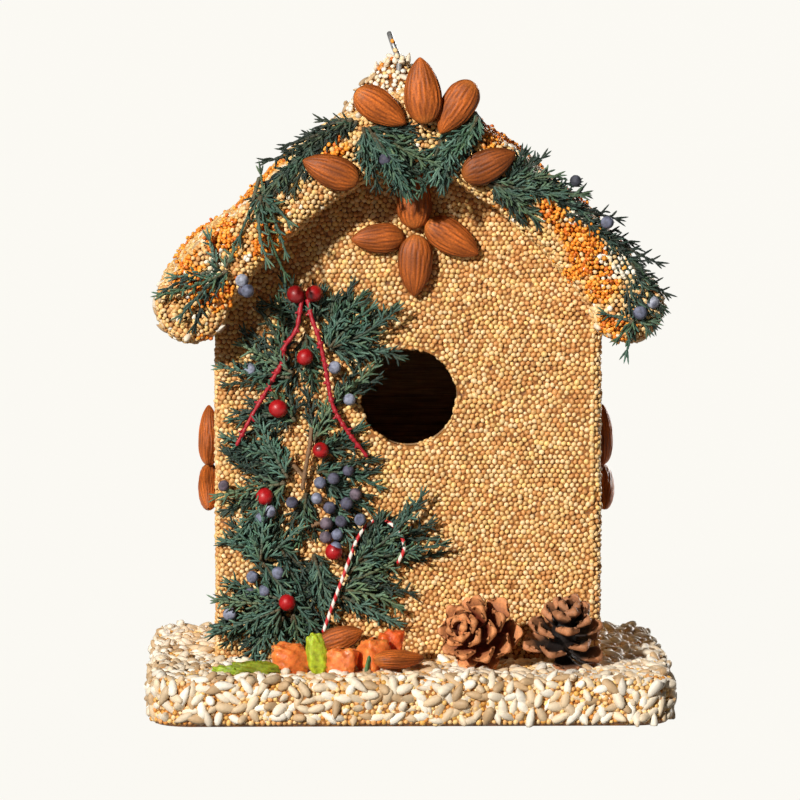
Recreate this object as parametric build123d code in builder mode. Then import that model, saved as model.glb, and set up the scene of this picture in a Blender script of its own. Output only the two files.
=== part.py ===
from build123d import *
from math import acos, atan, cos, degrees, hypot, radians, sin, sqrt, tan
import os

# A seed-coated nest house: a small wooden house glued all over with bird seed and
# dressed with almonds, juniper, berries, dried fruit and two pinecones. It hangs by
# a wire loop at the ridge or stands on its base, and a cover under the floor swivels
# open to clear out the old nest.
#
# Millimetres. X is across the front, -Y is the front, +Z is up. The origin is the
# middle of the base's footprint, on the surface the house stands on.

# ---------------------------------------------------------------- driving dimensions

# Base: a board carried in a thick crust of seed
base_apron_side = 29.5
base_depth = 167.0
base_height = 17.5
base_corner = 16.0
base_top_bevel = 3.0
base_foot_bevel = 1.5
base_crust_side = 6.5
base_crust_top = 4.5
board_thickness = 9.0

# Wooden body
body_width = 140.0
body_depth = 89.0
body_setback = 62.0
wall_thickness = 6.0
wall_crust = 4.5
wall_crust_corner = 3.0

# Entrance
entrance_diameter = 38.0
entrance_height = 121.0

# Roof: each slope is an arc struck from a point beyond the other side of the ridge
roof_apex_height = 240.5
roof_radius = 194.0
roof_centre_offset = 70.0
roof_overhang_front = 22.0
roof_overhang_back = 8.0
roof_crust_top = 8.0
roof_crust_under = 8.0
roof_crust_end = 5.0
roof_panel_thickness = 7.0
eave_overhang = 19.1
eave_bulb_radius = 13.5
eave_panel_setback = 4.0

# Ridge block and hanger
ridge_block_height = 16.0
hanger_wire_diameter = 2.2
hanger_offset = 3.0
hanger_span = 15.0
hanger_height = 22.0
hanger_lean = 17.0
hanger_foot = 12.0
hanger_bend = 3.0
mound_radius = 17.0
mound_height = 11.0

# Clean-out cover under the floor
cleanout_diameter = 48.0
cover_lap = 5.0
cover_thickness = 3.0
cover_pivot_reach = 40.0
cover_tab_radius = 8.0
cover_finger_radius = 6.0

# Fasteners
screw_shank = 3.5
screw_head = 7.0
cover_screw_length = 9.5

# Clearances
running_gap = 0.3
fit_gap = 0.2

# Crust relief: clumps of seed that stand a little proud of the roof and the back
clump_pitch = 17.0
clump_length = 9.0
clump_width = 5.0
clump_height = 1.0

# Dressing
garland_inset = 36.0
almond_length = 23.0
almond_width = 12.5
almond_thickness = 7.5
red_berry_diameter = 7.0
blue_berry_diameter = 5.6
twig_diameter = 2.0
cane_diameter = 2.2
sprig_thickness = 1.8
pinecone_core_radius = 5.5
pinecone_length = 24.0
pinecone_scale_reach = 15.5
pinecone_scale_count = 34
pinecone_side_gap = 1.0
pinecone_sunk = 1.5
pinecone_almond_gap = 5.0
papaya_size = 12.0
golden_angle = 137.508

# ---------------------------------------------------------------- derived positions

base_width = body_width + 2 * base_apron_side
board_width = base_width - 2 * base_crust_side
board_depth = base_depth - 2 * base_crust_side
board_top = base_height - base_crust_top
board_bottom = board_top - board_thickness

body_front = body_setback - base_depth / 2
body_back = body_front + body_depth
body_middle = (body_front + body_back) / 2
face_front = body_front - wall_crust
face_back = body_back + wall_crust
face_side = body_width / 2 + wall_crust
inner_front = body_front + wall_thickness
inner_back = body_back - wall_thickness

roof_front = face_front - roof_overhang_front
roof_back = face_back + roof_overhang_back
roof_centre_height = roof_apex_height - sqrt(roof_radius**2 - roof_centre_offset**2)
panel_outer_radius = roof_radius - roof_crust_top
panel_inner_radius = panel_outer_radius - roof_panel_thickness
soffit_radius = panel_inner_radius - roof_crust_under
eave_reach = face_side + eave_overhang + roof_centre_offset
eave_angle = degrees(acos(eave_reach / roof_radius))
ridge_angle = degrees(acos(roof_centre_offset / roof_radius))
slope_unit = radians(ridge_angle - eave_angle) * roof_radius / 100
panel_front = roof_front + roof_crust_end
panel_back = roof_back - roof_crust_end

os.makedirs("parts", exist_ok=True)


# ---------------------------------------------------------------- shared geometry


def facing_front(y):
    """The upright plane at this depth, seen from the front: its x is X and its y is Z."""
    return Plane.XZ.offset(-y)


def arc_height(radius, x=0.0):
    """Height of the roof arc of this radius at this distance from the middle."""
    return roof_centre_height + sqrt(radius**2 - (roof_centre_offset + abs(x)) ** 2)


def keep_under_roof(radius):
    """Cut the sketch being drawn to what lies under both slopes at this radius."""
    for side in (-1, 1):
        with Locations((side * roof_centre_offset, roof_centre_height)):
            Circle(radius, mode=Mode.INTERSECT)


def slope_band(outer, inner, end_angle):
    """The band of the right slope between two radii, from the ridge to an angle."""
    centre = (-roof_centre_offset, roof_centre_height)
    top_outer = degrees(acos(roof_centre_offset / outer))
    top_inner = degrees(acos(roof_centre_offset / inner))
    with BuildSketch() as band:
        with BuildLine():
            crown = CenterArc(centre, outer, end_angle, top_outer - end_angle)
            soffit = CenterArc(centre, inner, end_angle, top_inner - end_angle)
            Line(crown @ 0, soffit @ 0)
            Line(crown @ 1, soffit @ 1)
        make_face()
    return band.sketch


def on_slope(angle, depth):
    """X and Z of a point on the right slope, this deep below its outer surface."""
    radius = roof_radius - depth
    x = radius * cos(radians(angle)) - roof_centre_offset
    z = radius * sin(radians(angle)) + roof_centre_height
    return x, z


def on_face(plane, u, v, turn, out=0.0):
    """A plane lying on another at (u, v), turned in it and lifted off it."""
    origin = plane.from_local_coords((u, v, out))
    x_dir = plane.x_dir * cos(radians(turn)) + plane.y_dir * sin(radians(turn))
    return Plane(origin=origin, x_dir=x_dir, z_dir=plane.z_dir)


def clump(plane, u, v, turn):
    """A clump of seed on a flat: a long low boss with a short ridge on top."""
    sunk = clump_height * 0.5
    centre = on_face(plane, u, v, turn, -sunk)
    boss = Solid.make_wedge(
        clump_length,
        clump_height + sunk,
        clump_width,
        clump_length * 0.35,
        clump_width / 2,
        clump_length * 0.65,
        clump_width / 2,
    )
    upright = Location((-clump_length / 2, clump_width / 2, 0), (90, 0, 0))
    return boss.moved(centre.location * upright)


# ---------------------------------------------------------------- base

# Wooden base board, with the clean-out opening and the cover screw's hole
pivot_place = (cover_pivot_reach, body_middle)

with BuildPart() as base_board:
    with BuildSketch(Plane.XY.offset(board_bottom)):
        RectangleRounded(board_width, board_depth, base_corner - base_crust_side)
        with Locations((0, body_middle)):
            Circle(cleanout_diameter / 2, mode=Mode.SUBTRACT)
        with Locations(pivot_place):
            Circle(screw_shank / 2 + fit_gap, mode=Mode.SUBTRACT)
    extrude(amount=board_thickness)
base_board.part.label = "base_board"
export_step(base_board.part, "parts/base_board.step")

# Seed crust round the board: it covers the top and the edge, and its rim below the
# board is what the house stands on
with BuildPart() as base_seed_coat:
    with BuildSketch():
        RectangleRounded(base_width, base_depth, base_corner)
    extrude(amount=base_height)
    chamfer(base_seed_coat.faces().sort_by(Axis.Z)[-1].edges(), base_top_bevel)
    chamfer(base_seed_coat.faces().sort_by(Axis.Z)[0].edges(), base_foot_bevel)
    with BuildSketch():
        RectangleRounded(board_width, board_depth, base_corner - base_crust_side)
    extrude(amount=board_top, mode=Mode.SUBTRACT)
    with BuildSketch(Plane.XY.offset(board_top)):
        with Locations((0, body_middle)):
            Rectangle(body_width, body_depth)
    extrude(amount=base_crust_top, mode=Mode.SUBTRACT)
base_seed_coat.part.label = "base_seed_coat"
export_step(base_seed_coat.part, "parts/base_seed_coat.step")

# ---------------------------------------------------------------- wooden walls


def gable_wall(y, with_entrance):
    """Front or back wall: full width, with its top cut to the roof panels."""
    with BuildPart() as wall:
        with BuildSketch(facing_front(y)):
            with Locations((0, board_top)):
                Rectangle(body_width, roof_apex_height, align=(Align.CENTER, Align.MIN))
            keep_under_roof(panel_inner_radius)
            if with_entrance:
                with Locations((0, entrance_height)):
                    Circle(entrance_diameter / 2, mode=Mode.SUBTRACT)
        extrude(amount=-wall_thickness)
    return wall


front_wall = gable_wall(body_front, with_entrance=True)
front_wall.part.label = "front_wall"
export_step(front_wall.part, "parts/front_wall.step")

back_wall = gable_wall(inner_back, with_entrance=False)
back_wall.part.label = "back_wall"
export_step(back_wall.part, "parts/back_wall.step")

# Side walls fit between the gable walls; the four are glued to each other and the board
for side, name in ((-1, "left_wall"), (1, "right_wall")):
    with BuildPart() as side_wall:
        with BuildSketch(facing_front(inner_front)):
            with Locations((side * (body_width - wall_thickness) / 2, board_top)):
                Rectangle(wall_thickness, roof_apex_height, align=(Align.CENTER, Align.MIN))
            keep_under_roof(panel_inner_radius)
        extrude(amount=inner_front - inner_back)
    side_wall.part.label = name
    export_step(side_wall.part, f"parts/{name}.step")

# ---------------------------------------------------------------- clean-out cover

cover_top = board_bottom - running_gap
cover_bottom = cover_top - cover_thickness
cover_radius = cleanout_diameter / 2 + cover_lap

with BuildPart() as cleanout_cover:
    with BuildSketch(Plane.XY.offset(cover_bottom)):
        with Locations((0, body_middle)):
            Circle(cover_radius)
        with Locations(pivot_place):
            Circle(cover_tab_radius)
        make_hull()
        with Locations((-cover_radius, body_middle)):
            Circle(cover_finger_radius)
    extrude(amount=cover_thickness)
    with BuildSketch(Plane.XY.offset(cover_bottom)):
        with Locations(pivot_place):
            Circle(screw_head / 2 + running_gap)
    extrude(amount=(screw_head - screw_shank) / 2, taper=45, mode=Mode.SUBTRACT)
    with BuildSketch(Plane.XY.offset(cover_bottom)):
        with Locations(pivot_place):
            Circle(screw_shank / 2 + running_gap)
    extrude(amount=cover_thickness, mode=Mode.SUBTRACT)
cleanout_cover.part.label = "cleanout_cover"
export_step(cleanout_cover.part, "parts/cleanout_cover.step")

# Countersunk wood screw that the cover turns on, its thread left plain
screw_cone = (screw_head - screw_shank) / 2
with BuildPart() as cleanout_screw:
    with BuildSketch(Plane.XY.offset(cover_bottom)):
        with Locations(pivot_place):
            Circle(screw_head / 2)
    extrude(amount=screw_cone, taper=45)
    with BuildSketch(Plane.XY.offset(cover_bottom + screw_cone)):
        with Locations(pivot_place):
            Circle(screw_shank / 2)
    extrude(amount=cover_screw_length - screw_cone)
cleanout_screw.part.label = "cleanout_screw"
export_step(cleanout_screw.part, "parts/cleanout_screw.step")

# ---------------------------------------------------------------- wall seed coats


def gable_coat(y, with_entrance):
    """Seed on a gable wall, from the base up to the roof panels."""
    with BuildPart() as coat:
        with BuildSketch(facing_front(y)):
            with Locations((0, base_height)):
                Rectangle(2 * face_side, roof_apex_height, align=(Align.CENTER, Align.MIN))
            keep_under_roof(panel_inner_radius)
            if with_entrance:
                with Locations((0, entrance_height)):
                    Circle(entrance_diameter / 2, mode=Mode.SUBTRACT)
        extrude(amount=-wall_crust)
        outer_y = face_front if with_entrance else face_back
        corners = coat.edges().filter_by(Axis.Z)
        corners = corners.filter_by(lambda edge: abs(edge.center().Y - outer_y) < wall_crust / 2)
        fillet(corners, wall_crust_corner)
    return coat


front_seed_coat = gable_coat(face_front, with_entrance=True)
front_seed_coat.part.label = "front_seed_coat"
export_step(front_seed_coat.part, "parts/front_seed_coat.step")

back_face = Plane(origin=(0, face_back, 0), x_dir=(-1, 0, 0), z_dir=(0, 1, 0))
back_rows = int((arc_height(panel_inner_radius) - base_height) / clump_pitch)
back_columns = int(2 * face_side / clump_pitch)
back_places = [
    ((column - (back_columns - 1) / 2) * clump_pitch, base_height + (row + 0.6) * clump_pitch)
    for row in range(back_rows)
    for column in range(back_columns)
]

back_seed_coat = gable_coat(body_back, with_entrance=False)
with back_seed_coat:
    add(
        [
            clump(back_face, u, v, index * golden_angle)
            for index, (u, v) in enumerate(back_places)
            if v < arc_height(soffit_radius, u) - clump_length
        ]
    )
back_seed_coat.part.label = "back_seed_coat"
export_step(back_seed_coat.part, "parts/back_seed_coat.step")

for side, name in ((-1, "left_seed_coat"), (1, "right_seed_coat")):
    with BuildPart() as side_coat:
        with BuildSketch(facing_front(body_front)):
            with Locations((side * (body_width + wall_crust) / 2, base_height)):
                Rectangle(wall_crust, roof_apex_height, align=(Align.CENTER, Align.MIN))
            keep_under_roof(panel_inner_radius)
        extrude(amount=-body_depth)
    side_coat.part.label = name
    export_step(side_coat.part, f"parts/{name}.step")

# ---------------------------------------------------------------- hanger

block_bottom = arc_height(panel_inner_radius) - ridge_block_height
hanger_x = -hanger_offset
hanger_y = body_middle
leg_places = [(hanger_x, hanger_y + end * hanger_span / 2) for end in (-1, 1)]
leg_bottom = block_bottom - hanger_wire_diameter / 2 - fit_gap
mound_top = roof_apex_height + mound_height
hanger_top = roof_apex_height + hanger_height
lean_run = (hanger_top - mound_top) * sin(radians(hanger_lean)) / cos(radians(hanger_lean))


# The two holes that the hanger's legs run in, from the ridge block to the mound's top,
# with their mouths in the block eased where the wire is bent over. Holes and wire have
# eight flats each, which keeps the mesh light.
wire_side_count = 8
with BuildPart() as leg_bores:
    with BuildSketch(Plane.XY.offset(block_bottom)):
        with Locations(*leg_places):
            RegularPolygon(hanger_wire_diameter / 2 + fit_gap, wire_side_count, major_radius=False)
    extrude(amount=mound_top - block_bottom)
    with BuildSketch(Plane.XY.offset(block_bottom)):
        with Locations(*leg_places):
            RegularPolygon(hanger_wire_diameter / 2 + hanger_bend / 2, wire_side_count)
    extrude(amount=hanger_bend * 0.6)


def rounded(before, corner, after):
    """The three points of a corner rounded in two short straight runs."""
    ease = 0.48
    start = corner + (before - corner) * ease
    end = corner + (after - corner) * ease
    return [start, start * 0.25 + corner * 0.5 + end * 0.25, end]


with BuildPart() as hanger_wire:
    front_leg = hanger_y - hanger_span / 2
    back_leg = hanger_y + hanger_span / 2
    leaning_x = hanger_x - lean_run
    crown_z = hanger_top - hanger_wire_diameter / 2
    front_neck = Vector(hanger_x, front_leg, mound_top)
    back_neck = Vector(hanger_x, back_leg, mound_top)
    front_crown = Vector(leaning_x, front_leg, crown_z)
    back_crown = Vector(leaning_x, back_leg, crown_z)
    with BuildLine() as hanger_path:
        Polyline(
            (hanger_x, front_leg - hanger_foot, leg_bottom),
            (hanger_x, front_leg, leg_bottom),
            front_neck,
            *rounded(front_neck, front_crown, back_crown),
            *rounded(front_crown, back_crown, back_neck),
            back_neck,
            (hanger_x, back_leg, leg_bottom),
            (hanger_x, back_leg + hanger_foot, leg_bottom),
        )
    with BuildSketch(Plane(origin=hanger_path.line @ 0, z_dir=hanger_path.line % 0)):
        RegularPolygon(hanger_wire_diameter / 2, wire_side_count)
    sweep(path=hanger_path.line, transition=Transition.RIGHT)
hanger_wire.part.label = "hanger_wire"
export_step(hanger_wire.part, "parts/hanger_wire.step")

# Block under the ridge, which the wire passes through
with BuildPart() as ridge_block:
    with BuildSketch(facing_front(inner_front)):
        with Locations((0, block_bottom)):
            Rectangle(body_width, ridge_block_height, align=(Align.CENTER, Align.MIN))
        keep_under_roof(panel_inner_radius)
    extrude(amount=inner_front - inner_back)
    add(leg_bores.part, mode=Mode.SUBTRACT)
ridge_block.part.label = "ridge_block"
export_step(ridge_block.part, "parts/ridge_block.step")

# ---------------------------------------------------------------- roof

panel_end_angle = eave_angle + degrees(eave_panel_setback / panel_outer_radius)

with BuildPart() as roof_panel_right:
    with BuildSketch(facing_front(panel_front)):
        add(slope_band(panel_outer_radius, panel_inner_radius, panel_end_angle))
    extrude(amount=panel_front - panel_back)
roof_panel_right.part.label = "roof_panel_right"
export_step(roof_panel_right.part, "parts/roof_panel_right.step")

with BuildPart() as roof_panel_left:
    mirror(roof_panel_right.part, about=Plane.YZ)
    add(leg_bores.part, mode=Mode.SUBTRACT)
roof_panel_left.part.label = "roof_panel_left"
export_step(roof_panel_left.part, "parts/roof_panel_left.step")

# Seed packed round each panel: thick on top, under the eaves and over the front edge,
# and ending in a rounded bulb along the eave
eave_middle = on_slope(eave_angle, (roof_radius - soffit_radius) / 2)

# The crust's top is laid in flat courses, each as wide as a row of clumps, that follow
# the roof's arc from the eave to the ridge
course_count = int(radians(ridge_angle - eave_angle) * roof_radius / clump_pitch)
course_angle = (ridge_angle - eave_angle) / course_count
column_count = int((roof_back - roof_front) / clump_pitch)
column_pitch = (roof_back - roof_front) / column_count


def crust_section():
    """The right slope's crust seen from the front, from its top to the soffit."""
    crown = [on_slope(eave_angle + step * course_angle, 0.0) for step in range(course_count + 1)]
    centre = (-roof_centre_offset, roof_centre_height)
    top_inner = degrees(acos(roof_centre_offset / soffit_radius))
    with BuildSketch() as section:
        with BuildLine():
            Polyline(*crown)
            soffit = CenterArc(centre, soffit_radius, eave_angle, top_inner - eave_angle)
            Line(crown[0], soffit @ 0)
            Line(crown[-1], soffit @ 1)
        make_face()
    return section.sketch


def roof_clumps():
    """Clumps on the courses of the right slope, clear of the mound."""
    bosses = []
    keep_clear = mound_radius + hanger_offset + clump_length / 2
    for course in range(course_count):
        angle = eave_angle + (course + 0.5) * course_angle
        sag = roof_radius * (1 - cos(radians(course_angle / 2)))
        x, z = on_slope(angle, sag)
        outward = (cos(radians(angle)), 0, sin(radians(angle)))
        course_plane = Plane(origin=(x, 0, z), x_dir=(0, 1, 0), z_dir=outward)
        for column in range(column_count):
            y = roof_front + (column + 0.5) * column_pitch
            if hypot(x, y - hanger_y) > keep_clear:
                turn = (course * column_count + column) * golden_angle
                bosses.append(clump(course_plane, y, 0, turn))
    return bosses


with BuildPart() as roof_seed_coat_right:
    with BuildSketch(facing_front(roof_front)):
        add(crust_section())
        with Locations(eave_middle):
            Circle(eave_bulb_radius)
    extrude(amount=roof_front - roof_back)
    add(roof_panel_right.part, mode=Mode.SUBTRACT)
    with BuildSketch(facing_front(face_front)):
        with Locations((0, base_height)):
            Rectangle(2 * face_side, roof_apex_height, align=(Align.CENTER, Align.MIN))
        keep_under_roof(panel_inner_radius)
    extrude(amount=face_front - face_back, mode=Mode.SUBTRACT)
    add(roof_clumps())
roof_seed_coat_right.part.label = "roof_seed_coat_right"
export_step(roof_seed_coat_right.part, "parts/roof_seed_coat_right.step")

with BuildPart() as roof_seed_coat_left:
    mirror(roof_seed_coat_right.part, about=Plane.YZ)
    add(leg_bores.part, mode=Mode.SUBTRACT)
roof_seed_coat_left.part.label = "roof_seed_coat_left"
export_step(roof_seed_coat_left.part, "parts/roof_seed_coat_left.step")

# Heap of seed that locks the wire at the ridge
with BuildPart() as ridge_mound:
    mound_foot = arc_height(roof_radius, mound_radius + hanger_offset) - 2.0
    mound_rise = mound_top - mound_foot
    stage_foot = mound_foot
    stage_radius = mound_radius
    for share, slope in ((0.45, 8.0), (0.35, 33.0), (0.20, 62.0)):
        with BuildSketch(Plane.XY.offset(stage_foot)):
            with Locations((hanger_x, hanger_y)):
                RegularPolygon(stage_radius, 12)
        extrude(amount=mound_rise * share, taper=slope)
        stage_foot += mound_rise * share
        stage_radius -= mound_rise * share * tan(radians(slope)) / cos(radians(15.0))
    with BuildSketch(facing_front(roof_front)):
        with Locations((0, roof_centre_height)):
            Rectangle(base_width, roof_radius, align=(Align.CENTER, Align.MIN))
        keep_under_roof(roof_radius)
    extrude(amount=roof_front - roof_back, mode=Mode.SUBTRACT)
    add(leg_bores.part, mode=Mode.SUBTRACT)
ridge_mound.part.label = "ridge_mound"
export_step(ridge_mound.part, "parts/ridge_mound.step")

# ---------------------------------------------------------------- almonds

gable_face = facing_front(face_front)
roof_face = facing_front(roof_front)
left_face = Plane(origin=(-face_side, 0, 0), x_dir=(0, -1, 0), z_dir=(-1, 0, 0))
right_face = Plane(origin=(face_side, 0, 0), x_dir=(0, 1, 0), z_dir=(1, 0, 0))
base_face = Plane.XY.offset(base_height)


def off_face(face):
    """A sort key: how far a shape's centre stands off a face."""
    return lambda shape: (shape.center() - face.origin).dot(face.z_dir)


def almond(face, u, v, turn, scale=1.0, out=0.0):
    """A shelled almond lying on a face, its point along the turned x direction."""
    length = almond_length * scale
    half_width = almond_width * scale / 2
    thickness = almond_thickness * scale
    upper = [(0.32, 0.62), (0.10, 0.94), (-0.14, 1.0), (-0.34, 0.78), (-0.47, 0.36)]
    flank = [(along * length, across * half_width) for along, across in upper]
    outline = [(length / 2, 0)] + flank
    outline += [(along, -across) for along, across in reversed(flank)]
    with BuildPart() as nut:
        with BuildSketch(on_face(face, u, v, turn, out)):
            with BuildLine():
                Polyline(*outline, close=True)
            make_face()
        extrude(amount=thickness)
        crown = nut.faces().sort_by(off_face(face))[-1]
        chamfer(crown.edges(), thickness * 0.36)
    return nut.part


# Flower of four on the gable above the entrance, points outward. Places within a group
# of almonds are in almond lengths.
gable_flower_drop = 38.5
gable_flower = (2.0, arc_height(panel_inner_radius) - gable_flower_drop)
gable_petals = [
    (0.0, 0.574, 90.0, 1.0),
    (0.017, -0.557, -93.0, 1.0),
    (-0.635, -0.07, 182.0, 0.86),
    (0.67, -0.087, -28.0, 1.0),
]


def almond_group(face, centre, petals):
    """Almonds at (across, up, turn, scale) about a centre on a face."""
    u, v = centre
    return [
        almond(face, u + across * almond_length, v + up * almond_length, turn, scale)
        for across, up, turn, scale in petals
    ]


gable_nuts = almond_group(gable_face, gable_flower, gable_petals)
with BuildPart() as gable_almonds:
    add(gable_nuts)
gable_almonds.part.label = "gable_almonds"
export_step(gable_almonds.part, "parts/gable_almonds.step")

# Three at the peak, standing against the front of the roof
ridge_petals = [
    (-0.504, -0.283, -35.0, 0.93),
    (0.2, 0.01, 90.0, 1.08),
    (0.79, -0.27, 237.0, 0.96),
]
ridge_nuts = almond_group(roof_face, (0.0, roof_apex_height), ridge_petals)
with BuildPart() as ridge_almonds:
    add(ridge_nuts)
ridge_almonds.part.label = "ridge_almonds"
export_step(ridge_almonds.part, "parts/ridge_almonds.step")

# One on each side of the peak, lying along the slope's front edge
verge_angle = eave_angle + 0.66 * (ridge_angle - eave_angle)
verge_x, verge_z = on_slope(verge_angle, 0.54 * (roof_radius - soffit_radius))
left_verge = (-verge_x, verge_z, 160.0)
right_verge = (verge_x, verge_z, 25.0)
verge_nuts = [
    almond(roof_face, *left_verge, 0.97),
    almond(roof_face, *right_verge, 0.95),
]
with BuildPart() as verge_almonds:
    add(verge_nuts)
verge_almonds.part.label = "verge_almonds"
export_step(verge_almonds.part, "parts/verge_almonds.step")

# A trefoil on each side wall
side_wall_height = arc_height(panel_inner_radius, face_side) - base_height
side_flower_height = base_height + 0.46 * side_wall_height
side_petal_reach = 0.61
side_petals = [
    (side_petal_reach * cos(radians(turn)), side_petal_reach * sin(radians(turn)), turn, 1.0)
    for turn in (90, 210, 330)
]
for face, name in ((left_face, "left_side_almonds"), (right_face, "right_side_almonds")):
    middle = body_middle if face is right_face else -body_middle
    side_nuts = almond_group(face, (middle, side_flower_height), side_petals)
    with BuildPart() as side_almonds:
        add(side_nuts)
    side_almonds.part.label = name
    export_step(side_almonds.part, f"parts/{name}.step")

# Two at the foot of the front wall, set from the garland's middle line
garland_x = garland_inset - face_side
low_almond_x = garland_x + 1.5 * almond_length
low_almond_scale = 0.9
apron_middle = (face_front - base_depth / 2) / 2
base_nuts = [
    almond(gable_face, garland_x + almond_length / 2, base_height + 10.5, 12.0, 0.75),
    almond(base_face, low_almond_x, apron_middle - 6.8, 14.0, low_almond_scale),
]
with BuildPart() as base_almonds:
    add(base_nuts)
base_almonds.part.label = "base_almonds"
export_step(base_almonds.part, "parts/base_almonds.step")

# ---------------------------------------------------------------- dried fruit


def chunk(u, v, turn, length, width, height):
    """A cut dice of dried fruit on the base, its sides uneven and drawn in upward."""
    with BuildPart() as dice:
        with BuildSketch(on_face(base_face, u, v, turn)):
            with BuildLine():
                Polyline(
                    (-length / 2, -width * 0.3),
                    (-length * 0.35, -width * 0.46),
                    (length * 0.38, -width / 2),
                    (length / 2, width * 0.36),
                    (-length * 0.3, width / 2),
                    close=True,
                )
            make_face()
        extrude(amount=height, taper=7)
    return dice.part


# Four dice in front of the garland: place, turn and size in dice sizes
dice_places = [
    ((-0.71, -0.12), 25.0, (1.15, 0.90, 1.00)),
    ((1.00, -0.50), -12.0, (1.00, 0.80, 0.80)),
    ((2.33, 0.46), 35.0, (1.00, 1.00, 1.05)),
    ((0.92, 0.75), 8.0, (1.00, 0.60, 0.50)),
]
papaya_dice = [
    chunk(
        garland_x + across * papaya_size,
        apron_middle + along * papaya_size,
        turn,
        *(papaya_size * share for share in size),
    )
    for (across, along), turn, size in dice_places
]
with BuildPart() as papaya_chunks:
    add(papaya_dice)
papaya_chunks.part.label = "papaya_chunks"
export_step(papaya_chunks.part, "parts/papaya_chunks.step")


def rind(u, v, turn, length, width, height):
    """A curved slice of green dried fruit standing or lying on the base."""
    outer = [(-0.5, 0.0), (-0.3, 0.64), (0.0, 1.0), (0.3, 0.64), (0.5, 0.0)]
    inner = [(0.25, 0.18), (-0.25, 0.18)]
    outline = [(along * length, across * width) for along, across in outer + inner]
    with BuildPart() as slice_of_fruit:
        with BuildSketch(on_face(base_face, u, v, turn)):
            with BuildLine():
                Polyline(*outline, close=True)
            make_face()
        extrude(amount=height)
    return slice_of_fruit.part


# One standing and two lying, between the dice and out to the left, in dice sizes
slice_places = [
    ((0.17, -0.54), 8.0, (0.67, 0.28, 1.20)),
    ((-1.88, 0.33), 12.0, (1.42, 0.42, 0.25)),
    ((-2.88, 0.08), -10.0, (0.75, 0.25, 0.21)),
]
green_slices = [
    rind(
        garland_x + across * papaya_size,
        apron_middle + along * papaya_size,
        turn,
        *(papaya_size * share for share in size),
    )
    for (across, along), turn, size in slice_places
]
with BuildPart() as green_fruit:
    add(green_slices)
green_fruit.part.label = "green_fruit"
export_step(green_fruit.part, "parts/green_fruit.step")

# ---------------------------------------------------------------- pinecones


def pinecone(length, reach, count):
    """An open cone standing on its stalk end: woody scales in a golden-angle spiral
    round a tapered core, flat and wide below and closing upward to the tip."""
    core = pinecone_core_radius
    with BuildPart() as cone:
        with BuildSketch():
            RegularPolygon(core, 8)
        extrude(amount=length * 0.9, taper=degrees(atan(core * 0.7 / length)))
        for index in range(count):
            share = (index + 0.5) / count
            turn = radians(index * golden_angle)
            lift = radians(-8.0 + 88.0 * share**1.2)
            swell = sqrt(1.0 - ((share - 0.32) / 0.95) ** 2)
            tip = reach * swell * (1.0 - 0.28 * share)
            width = 2.0 * reach * (0.30 - 0.13 * share)
            root = core * 0.45
            plane = Plane(
                origin=(0, 0, length * (0.10 + 0.62 * share)),
                x_dir=(cos(turn) * cos(lift), sin(turn) * cos(lift), sin(lift)),
                z_dir=(-cos(turn) * sin(lift), -sin(turn) * sin(lift), cos(lift)),
            )
            with BuildSketch(plane):
                with BuildLine():
                    Polyline(
                        (root, -width * 0.2),
                        (tip * 0.82, -width / 2),
                        (tip, -width * 0.22),
                        (tip, width * 0.22),
                        (tip * 0.82, width / 2),
                        (root, width * 0.2),
                        close=True,
                    )
                make_face()
            extrude(amount=reach * 0.09)
    return cone.part


def seated_cone(cone, x, y, lean_plane):
    """A cone tipped onto its side and pressed into the seed of the base, its middle
    over (x, y)."""
    tipped = lean_plane.location * cone
    box = tipped.bounding_box()
    middle = box.center()
    rise = base_height - pinecone_sunk - box.min.Z
    return tipped.moved(Location((x - middle.X, y - middle.Y, rise)))


cone_left_x = low_almond_x + almond_length * low_almond_scale / 2
cone_left_x += pinecone_almond_gap + pinecone_scale_reach
cone_right_x = cone_left_x + 2 * pinecone_scale_reach + pinecone_side_gap
cones = {
    "pinecone_left": (
        pinecone(pinecone_length * 1.08, pinecone_scale_reach, pinecone_scale_count),
        cone_left_x,
        apron_middle,
        Plane(origin=(0, 0, 0), x_dir=(0.9, -0.4, 0.2), z_dir=(-0.32, -0.80, 0.50)),
    ),
    "pinecone_right": (
        pinecone(pinecone_length, pinecone_scale_reach * 1.06, pinecone_scale_count),
        cone_right_x,
        apron_middle + pinecone_length / 8,
        Plane(origin=(0, 0, 0), x_dir=(0.9, 0.2, -0.2), z_dir=(0.18, -0.55, 0.80)),
    ),
}
for name, (cone, x, y, lean_plane) in cones.items():
    seated = seated_cone(cone, x, y, lean_plane)
    with BuildPart() as pinecone_piece:
        add(seated)
        split(bisect_by=base_face, keep=Keep.TOP)
    pinecone_piece.part.label = name
    export_step(pinecone_piece.part, f"parts/{name}.step")

# ---------------------------------------------------------------- juniper


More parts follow.
